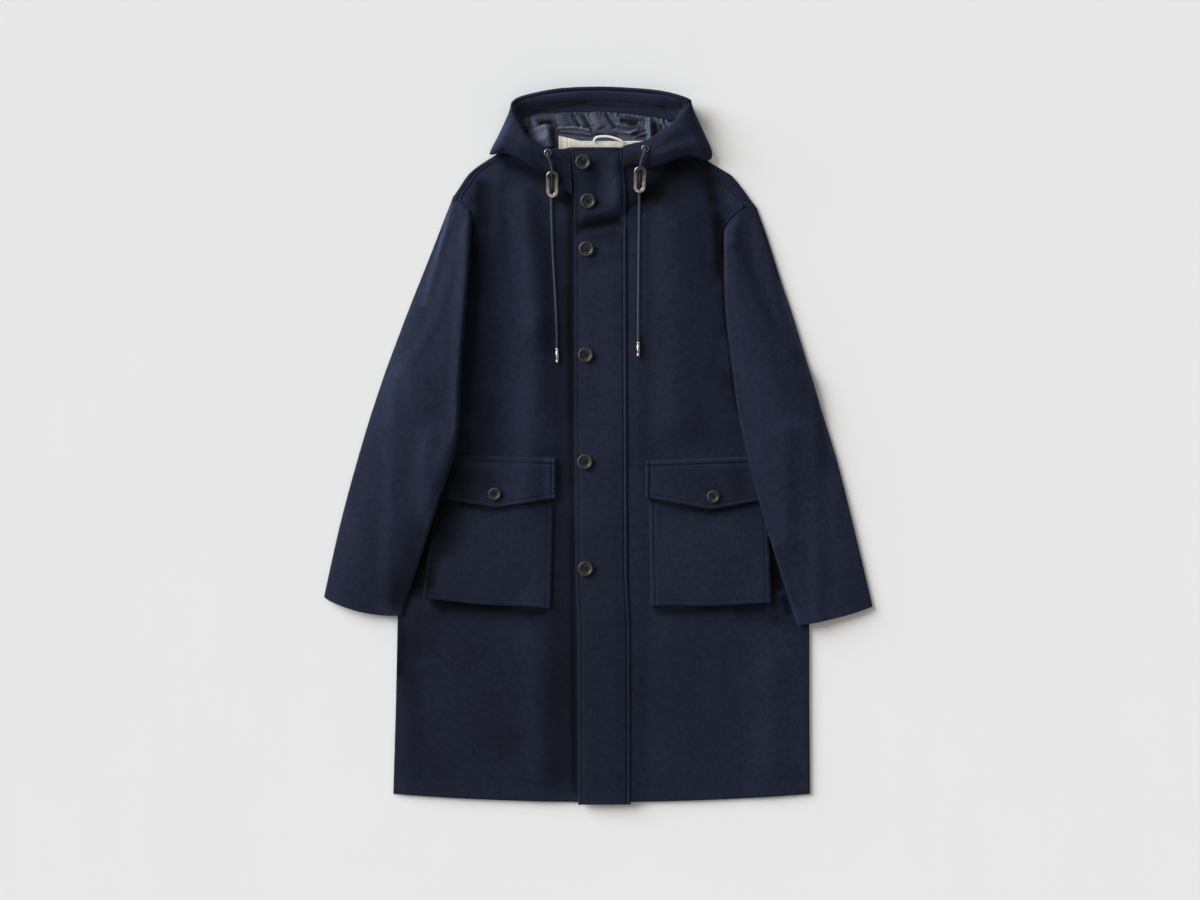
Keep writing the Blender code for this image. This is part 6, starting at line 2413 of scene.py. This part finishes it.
def slot_ring(
    name: str, width: float, length: float, section: Sequence[tuple[float, float]]
) -> bpy.types.Mesh:
    """A closed ring swept along a slot-shaped line in the XY plane.

    Args:
        name: The mesh's name.
        width: The width of the line.
        length: The length of the line, along Y.
        section: The section's points (outward, z).

    Returns:
        The mesh.
    """
    radius = width / 2
    run = length / 2 - radius
    rings = []
    for centre, start in ((run, 0.0), (-run, math.pi)):
        for angle in np.linspace(start, start + math.pi, SLOT_END_POINTS):
            cos, sin = math.cos(angle), math.sin(angle)
            reach = [(radius + out, z) for out, z in section]
            rings.append([(out * cos, centre + out * sin, z) for out, z in reach])
    count = len(section)
    faces = []
    for k in range(len(rings)):
        here, after = k * count, (k + 1) % len(rings) * count
        for j in range(count):
            to = (j + 1) % count
            faces.append((here + j, after + j, after + to, here + to))
    mesh = bpy.data.meshes.new(name)
    mesh.from_pydata([point for ring in rings for point in ring], [], faces)
    build = bmesh.new()
    build.from_mesh(mesh)
    bmesh.ops.recalc_face_normals(build, faces=build.faces)
    build.to_mesh(mesh)
    build.free()
    mesh.shade_smooth()
    return mesh


def rounded_section(
    width: float, height: float, power: float, count: int
) -> list[tuple[float, float]]:
    """A closed section like a rounded rectangle, as a superellipse.

    Args:
        width: Its width.
        height: Its height.
        power: 2 for an ellipse, more for squarer corners.
        count: How many points it has.

    Returns:
        The points (outward, z).
    """
    points = []
    for k in range(count):
        angle = math.tau * (k + 0.5) / count
        cos, sin = math.cos(angle), math.sin(angle)
        out = math.copysign(abs(cos) ** (2 / power), cos) * width / 2
        points.append((out, math.copysign(abs(sin) ** (2 / power), sin) * height / 2))
    return points


@dataclass
class Drawcords:
    """The free ends of the hood's cord, with their eyelets, toggles and metal tips."""

    shown: dict[Side, float] = by_side(0.296, 0.293)
    turns: dict[Side, float] = by_side(0.0, -2.5)
    diameter: float = 0.0040
    braid_rise: float = 0.0001
    path_points: int = 500
    end_points: int = 30
    toggle_tilt: float = 15.0
    toggle_size: tuple[float, float] = (0.0180, 0.0405)
    toggle_power: float = 3.2
    toggle_points: int = 24
    slot_width: float = 0.0070
    toggle_thickness: float = 0.0030
    # Painted shade on the inner face of the toggle's top, standing in for a dark reflection
    painted_shade_tone: float = -0.84
    painted_shade_from: float = 0.14
    painted_shade_fade: float = 0.0055
    painted_shade_arch: float = 0.28
    painted_shade_reach: float = 0.49
    painted_shade_edge: float = 0.0010
    eyelet_tilt: float = 8.0
    eyelet_radius: float = 0.0055
    eyelet_hole: float = 0.0041
    eyelet_thickness: float = 0.0018
    eyelet_points: int = 15
    eyelet_steps: int = 48
    tip_radius: float = 0.0026
    tip_length: float = 0.0220
    tip_steps: int = 36
    tip_cord_end: tuple[tuple[float, float], ...] = (
        (0.0, 0.0), (0.78, 0.0), (0.95, 0.0004), (1.0, 0.0010), (1.0, 0.0034),
        (0.88, 0.0040), (0.88, 0.0046), (1.0, 0.0052),
    )
    tip_free_end: tuple[tuple[float, float], ...] = (
        (1.0, 0.0052), (0.88, 0.0046), (0.88, 0.0040), (1.0, 0.0034), (1.0, 0.0006),
        (0.90, 0.0), (0.0, 0.0),
    )

    def placed(self, name: str, mesh: bpy.types.Mesh, turn: Matrix, node: str) -> bpy.types.Object:
        """Stand a metal piece where its solid is.

        Args:
            name: The piece's name.
            mesh: Its mesh, round the origin.
            turn: How it is turned.
            node: The solid that it stands for.

        Returns:
            The piece.
        """
        place = centre_of(node)
        side = Side.LEFT if place.x > 0.0 else Side.RIGHT
        place.z += float(FORM.swell(side, np.array([place.x]), np.array([place.y]))[0])
        mesh.transform(Matrix.Translation(place) @ turn)
        return set_in(add_piece(name, mesh, METAL_FINISH.material()), "metal", node)

    def toggle(self, side: Side) -> bpy.types.Object:
        """The flat ring that rides on the cord, with painted shade on the inner face of its top,
        standing in for a dark reflection.

        Args:
            side: The wearer's side.

        Returns:
            The piece.
        """
        wide, long = self.toggle_size
        bar = (wide - self.slot_width) / 2
        section = rounded_section(
            bar, self.toggle_thickness, self.toggle_power, self.toggle_points
        )
        name = f"toggle_{side.value}_ring"
        mesh = slot_ring(name, wide - bar, long - bar, section)
        # Painted shade on the top's inner face, standing in for a dark reflection
        painted_tones = mesh.attributes.new(PAINTED_SHADE_LAYER, "FLOAT", "POINT")
        for vertex, value in zip(mesh.vertices, painted_tones.data):
            high = ease((vertex.co.y - self.painted_shade_from * long) / self.painted_shade_fade)
            up = max(vertex.co.y - self.painted_shade_arch * long, 0.0)
            inside = self.painted_shade_reach * wide - math.hypot(vertex.co.x, up)
            value.value = self.painted_shade_tone * float(high * ease(inside / self.painted_shade_edge))
        turn = turned_about("Z", self.turns[side]) @ turned_about("X", self.toggle_tilt)
        return self.placed(name, mesh, turn, f"toggle_{side.value}")

    def eyelet(self, side: Side) -> bpy.types.Object:
        """The ring that the cord comes out of.

        Args:
            side: The wearer's side.

        Returns:
            The piece.
        """
        middle = (self.eyelet_radius + self.eyelet_hole) / 2
        half = (self.eyelet_radius - self.eyelet_hole) / 2
        section = [
            (middle + half * math.cos(a), self.eyelet_thickness / 2 * math.sin(a))
            for a in np.linspace(0.0, math.tau, self.eyelet_points)
        ]
        name = f"eyelet_{side.value}_ring"
        tilt = turned_about("X", self.eyelet_tilt)
        ring = turned(name, section, self.eyelet_steps)
        return self.placed(name, ring, tilt, f"eyelet_{side.value}")

    def tip(self, side: Side, along: Vector) -> bpy.types.Object:
        """The crimped metal tip on the cord's end.

        Args:
            side: The wearer's side.
            along: The way that the cord's end runs.

        Returns:
            The piece.
        """
        half, radius = self.tip_length / 2, self.tip_radius
        section = [(radius * share, -half + inset) for share, inset in self.tip_cord_end]
        section += [(radius * share, half - inset) for share, inset in self.tip_free_end]
        name = f"aglet_{side.value}_tip"
        turn = along.to_track_quat("Z", "Y").to_matrix().to_4x4()
        mesh = turned(name, section, self.tip_steps)
        return self.placed(name, mesh, turn, f"aglet_{side.value}")

    def build(self) -> None:
        """Make both drawcords with the pieces on them."""
        braid = braid_tree()
        cord = CORD_FINISH.material()
        for side in Side:
            self.eyelet(side)
            path = smooth_table(CORD_ROUTES[side], self.path_points)
            path[:, 2] += FORM.swell(side, path[:, 0], path[:, 1])
            along = Vector(path[-1] - path[-self.end_points])
            along.z = 0.0
            pieces = [self.toggle(side), self.tip(side, along.normalized())]
            piece = lines_piece(f"drawcord_{side.value}_braid", [path], cord)
            sizes = {"Radius": self.diameter / 2 - self.braid_rise, "Material": cord}
            run_tree(piece, braid, sizes)
            set_in(piece, "cord", f"drawcord_{side.value}")
            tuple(path[0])


# ------------------------------------------------------------- buttons and buttonholes


@dataclass
class Buttons:
    """The eight horn buttons, their threads and the buttonholes round them."""

    front_count: int = 6
    front_radius: float = 0.0115
    pocket_radius: float = 0.0094
    thickness: float = 0.0034
    profile: tuple[tuple[float, float], ...] = (
        (0.0, 0.50), (0.30, 0.51), (0.52, 0.55), (0.60, 0.60), (0.66, 0.72),
        (0.71, 0.88), (0.76, 0.96), (0.82, 1.0), (0.88, 0.98), (0.94, 0.88),
        (0.98, 0.70), (1.0, 0.48), (0.97, 0.26), (0.88, 0.08), (0.80, 0.0), (0.0, 0.0),
    )
    # Painted light and shade by share of the radius: shade in the dish and at the outer edge, a
    # painted highlight on the raised rim
    painted_light_by_radius: tuple[tuple[float, float], ...] = (
        (0.0, -0.30), (0.52, -0.36), (0.62, -0.42), (0.72, -0.10), (0.80, 0.40),
        (0.90, 0.30), (1.0, -0.25),
    )
    steps: int = 64
    sharp_angle: float = 38.0
    hole_segments: int = 14
    hole_past: float = 3.0
    hole_share: float = 0.095
    hole_offset: float = 0.27
    thread_gap: float = 0.00035
    thread_past: float = 0.06
    thread_points: int = 15
    thread_low: float = 0.0012
    thread_arch: float = 0.0018
    rim_size: tuple[float, float] = (0.0012, 0.0009)
    rim_power: float = 2.0
    rim_points: int = 8
    slit_width: float = 0.0016
    front_hole: tuple[float, float] = (0.0060, 0.0195)
    pocket_hole: tuple[float, float] = (0.0060, 0.0200)

    def pierced(self, name: str, radius: float) -> bpy.types.Object:
        """A button at the origin with its four holes cut.

        Args:
            name: The piece's name.
            radius: The button's radius.

        Returns:
            The piece.
        """
        section = [(radius * x, self.thickness * z) for x, z in self.profile]
        horn = HORN_FINISH.material()
        piece = add_piece(name, turned(name, section, self.steps), horn)
        pegs = bpy.data.meshes.new("pegs")
        build = bmesh.new()
        peg = radius * self.hole_share
        for spot in self.hole_spots(radius):
            made = bmesh.ops.create_cone(
                build, cap_ends=True, segments=self.hole_segments, radius1=peg, radius2=peg,
                depth=self.thickness * self.hole_past,
            )
            bmesh.ops.translate(build, verts=made["verts"], vec=spot)
        build.to_mesh(pegs)
        build.free()
        cutter = bpy.data.objects.new("pegs", pegs)
        bpy.context.scene.collection.objects.link(cutter)
        cut = piece.modifiers.new("holes", "BOOLEAN")
        cut.operation, cut.object, cut.solver = "DIFFERENCE", cutter, "EXACT"
        baked(piece)
        bpy.data.objects.remove(cutter)
        mesh = piece.data
        mesh.materials.clear()
        mesh.materials.append(horn)
        mesh.shade_smooth()
        mesh.set_sharp_from_angle(angle=math.radians(self.sharp_angle))
        # Paint the light and shade across the face by distance from the middle
        reach, tone = zip(*self.painted_light_by_radius)
        painted_tones = mesh.attributes.new(PAINTED_SHADE_LAYER, "FLOAT", "POINT")
        for vertex, value in zip(mesh.vertices, painted_tones.data):
            value.value = np.interp(vertex.co.xy.length / radius, reach, tone)
        return piece

    def hole_spots(self, radius: float) -> list[Vector]:
        """The middles of a button's four holes.

        Args:
            radius: The button's radius.

        Returns:
            The points.
        """
        reach = radius * self.hole_offset
        angles = [math.tau * (quarter + 0.5) / 4 for quarter in range(4)]
        return [Vector((reach * math.cos(a), reach * math.sin(a), 0.0)) for a in angles]

    def threads(self, radius: float, place: Vector) -> list[np.ndarray]:
        """The crossed threads over a button's middle.

        Args:
            radius: The button's radius.
            place: Where its underside's middle is.

        Returns:
            Their lines.
        """
        spots = self.hole_spots(radius)
        low = self.thickness * 0.5 - self.thread_low
        lines = []
        for start, end in ((0, 2), (1, 3)):
            side = (spots[end] - spots[start]).normalized()
            side = Vector((-side.y, side.x, 0.0)) * self.thread_gap
            for shift in (-1.0, 0.0, 1.0):
                line = []
                for t in np.linspace(-self.thread_past, 1.0 + self.thread_past, self.thread_points):
                    point = spots[start].lerp(spots[end], t) + side * shift
                    arch = math.sin(math.pi * min(max(t, 0.0), 1.0)) ** 0.5
                    point.z = low + self.thread_arch * arch
                    line.append(point + place)
                lines.append(np.array(line))
        return lines

    def buttonhole(self, name: str, place: Vector, front: bool) -> None:
        """The sewn rim of a buttonhole, its end showing beside the button.

        Args:
            name: The piece's name.
            place: Where the button's middle is.
            front: Whether it lies across, as on the placket, or up and down.
        """
        start, end = self.front_hole if front else self.pocket_hole
        rim = rounded_section(*self.rim_size, self.rim_power, self.rim_points)
        mesh = slot_ring(name, self.slit_width, start + end, rim)
        shift = Matrix.Translation((0.0, (end - start) / 2, 0.0))
        turn = turned_about("Z", -90.0 if front else 0.0)
        mesh.transform(Matrix.Translation(place) @ turn @ shift)
        set_in(add_piece(name, mesh, THREAD_FINISH.material()), "wool")

    def build(self) -> list[np.ndarray]:
        """Make the buttons and buttonholes.

        Returns:
            The lines of their threads.
        """
        radii = {f"front_button_{k + 1}": self.front_radius for k in range(self.front_count)}
        radii |= {f"pocket_button_{side.value}": self.pocket_radius for side in Side}
        lines = []
        for name, radius in radii.items():
            low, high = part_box(name)
            seat = Vector(((low.x + high.x) / 2, (low.y + high.y) / 2, low.z))
            piece = self.pierced(f"{name}_horn", radius)
            piece.data.transform(Matrix.Translation(seat))
            set_in(piece, "horn", name)
            lines += self.threads(radius, seat)
            front = name.startswith("front")
            self.buttonhole(f"{name}_hole", seat - Vector((0, 0, LAYER_GAP)), front)
        return lines


# --------------------------------------------------------------------------- stitching


@dataclass
class Stitching:
    """The rows of stitches along the sewn edges."""

    pitch: float = 0.0032
    thread: float = 0.00028
    sunk: float = -0.00002
    welt_trim: float = 0.004
    channel_trim: int = 3
    button_pitch: float = 0.0006
    button_stitch: float = 0.0011
    button_thread: float = 0.0002

    def rows(
        self, placket: np.ndarray, pockets: dict[str, np.ndarray], band: np.ndarray
    ) -> dict[str, list[np.ndarray]]:
        """The lines that stitches follow.

        Args:
            placket: The placket's grid.
            pockets: The grids of the patches and flaps by name.
            band: The grid of the hood's band.

        Returns:
            The lines by piece.
        """
        at = self.sunk
        free, sewn = Placket.free_edge.sewn_at, Placket.sewn_edge.sewn_at
        end = Placket.end_edge.sewn_at
        lines = {
            "placket_stitches": [
                line_at(placket, Edge.START, free, at),
                line_at(placket, Edge.END, sewn, at),
                line_at(placket, Edge.LOW, end, at, end),
            ]
        }
        for name, grid in pockets.items():
            flap = "flap" in name
            inset = (Pockets.flap_edge if flap else Pockets.patch_edge).sewn_at
            edges = (Edge.START, Edge.END, Edge.HIGH)
            made = [line_at(grid, edge, inset, at, inset) for edge in edges]
            if flap:
                welt = Pockets.welt_edge.sewn_at
                made.append(line_at(grid, Edge.LOW, welt, at, self.welt_trim))
            lines[f"{name}_stitches"] = made
        lines["hood_channel_stitches"] = [self.channel(band)]
        return lines

    def channel(self, band: np.ndarray) -> np.ndarray:
        """The line along the hood's cord channel.

        Args:
            band: The grid of the hood's band.

        Returns:
            The line's points.
        """
        run = lengths(band, 1)
        sewn = Hood.channel_share
        line = [
            [np.interp(sewn, share, row[:, k]) for k in range(3)]
            for share, row in zip(run / run[:, -1:], band)
        ]
        return np.array(line)[self.channel_trim : -self.channel_trim]

    def build(self, lines: dict[str, list[np.ndarray]], threads: list[np.ndarray]) -> None:
        """Run the stitch tree along every line.

        Args:
            lines: The sewn lines by piece.
            threads: The buttons' threads.
        """
        tree = stitch_tree()
        seam = {"Pitch": self.pitch, "Thread Radius": self.thread}
        button = {
            "Pitch": self.button_pitch,
            "Stitch Length": self.button_stitch,
            "Thread Radius": self.button_thread,
        }
        runs = [(name, group, THREAD_FINISH, seam) for name, group in lines.items()]
        runs.append(("button_threads", threads, DARK_THREAD_FINISH, button))
        for name, group, finish, sizes in runs:
            material = finish.material()
            piece = lines_piece(name, group, material)
            run_tree(piece, tree, {**sizes, "Material": material})
            set_in(piece, "wool")


# ------------------------------------------------------------------------------ studio


@dataclass
class Studio:
    """A pale floor seen from straight above, lit softly from the upper left."""

    camera_place: tuple[float, float, float] = (0.0026, -0.0053, 3.608)
    lens: float = 72.0
    sensor: float = 36.0
    far_limit: float = 50.0
    floor_size: float = 14.0
    floor_z: float = -0.0002
    sun_towards: tuple[float, float] = (-1.0, 0.62)
    sun_elevation: float = 20.0
    sun_strength: float = 5.75
    sun_angle: float = 46.0
    sun_colour: Colour = (0.965, 1.0, 1.035)
    fill_colour: Colour = (1.06, 1.0, 0.93)
    fill_strength: float = 0.33
    card_place: tuple[float, float, float] = (0.0, -1.40, 3.03)
    card_aim: tuple[float, float, float] = (0.0, 0.40, 0.0)
    card_size: float = 0.9
    card_strength: float = 3.0

    @staticmethod
    def hang(lamp: bpy.types.Light, place: Sequence[float], from_aim: Vector) -> None:
        """Put a light in the scene, turned to shine down a direction.

        Args:
            lamp: The light.
            place: Where it is.
            from_aim: The direction from what it lights to the light.
        """
        held = bpy.data.objects.new(lamp.name, lamp)
        held.location = place
        held.rotation_euler = from_aim.to_track_quat("Z", "Y").to_euler()
        bpy.context.scene.collection.objects.link(held)

    def build(self) -> None:
        """Set up the camera, floor, light and view."""
        scene = bpy.context.scene
        camera = bpy.data.cameras.new("overhead")
        camera.lens, camera.sensor_width = self.lens, self.sensor
        camera.clip_end = self.far_limit
        eye = bpy.data.objects.new("overhead", camera)
        eye.location = self.camera_place
        scene.collection.objects.link(eye)
        scene.camera = eye
        half, z = self.floor_size / 2, self.floor_z
        mesh = bpy.data.meshes.new("floor")
        corners = ((-half, -half, z), (half, -half, z), (half, half, z), (-half, half, z))
        mesh.from_pydata(corners, [], [(0, 1, 2, 3)])
        add_piece("floor", mesh, FLOOR_FINISH.material())
        sun = bpy.data.lights.new("window", "SUN")
        sun.energy, sun.color = self.sun_strength, self.sun_colour
        sun.angle = math.radians(self.sun_angle)
        rise = math.tan(math.radians(self.sun_elevation)) * math.hypot(*self.sun_towards)
        self.hang(sun, (0.0, 0.0, 0.0), Vector((*self.sun_towards, rise)))
        card = bpy.data.lights.new("card", "AREA")
        card.shape, card.size = "SQUARE", self.card_size
        card.energy = self.card_strength
        self.hang(card, self.card_place, Vector(self.card_place) - Vector(self.card_aim))
        world = bpy.data.worlds.new("studio")
        world.use_nodes = True
        back = world.node_tree.nodes["Background"]
        back.inputs["Color"].default_value = (*self.fill_colour, 1.0)
        back.inputs["Strength"].default_value = self.fill_strength
        scene.world = world
        scene.view_settings.view_transform = "Standard"
        scene.view_settings.look = "None"


def main() -> None:
    """Build the studio, then the coat from the ground up."""
    logging.basicConfig(level=logging.INFO, format="%(name)s: %(message)s")
    build_groups()
    Studio().build()
    Drawcords().build()
    Body().build()
    placket = Placket().build()
    pockets = Pockets().build()
    Sleeves().build()
    band = Hood().build()
    Neck().build()
    threads = Buttons().build()
    stitching = Stitching()
    stitching.build(stitching.rows(placket, pockets, band), threads)


if __name__ == "__main__":
    main()
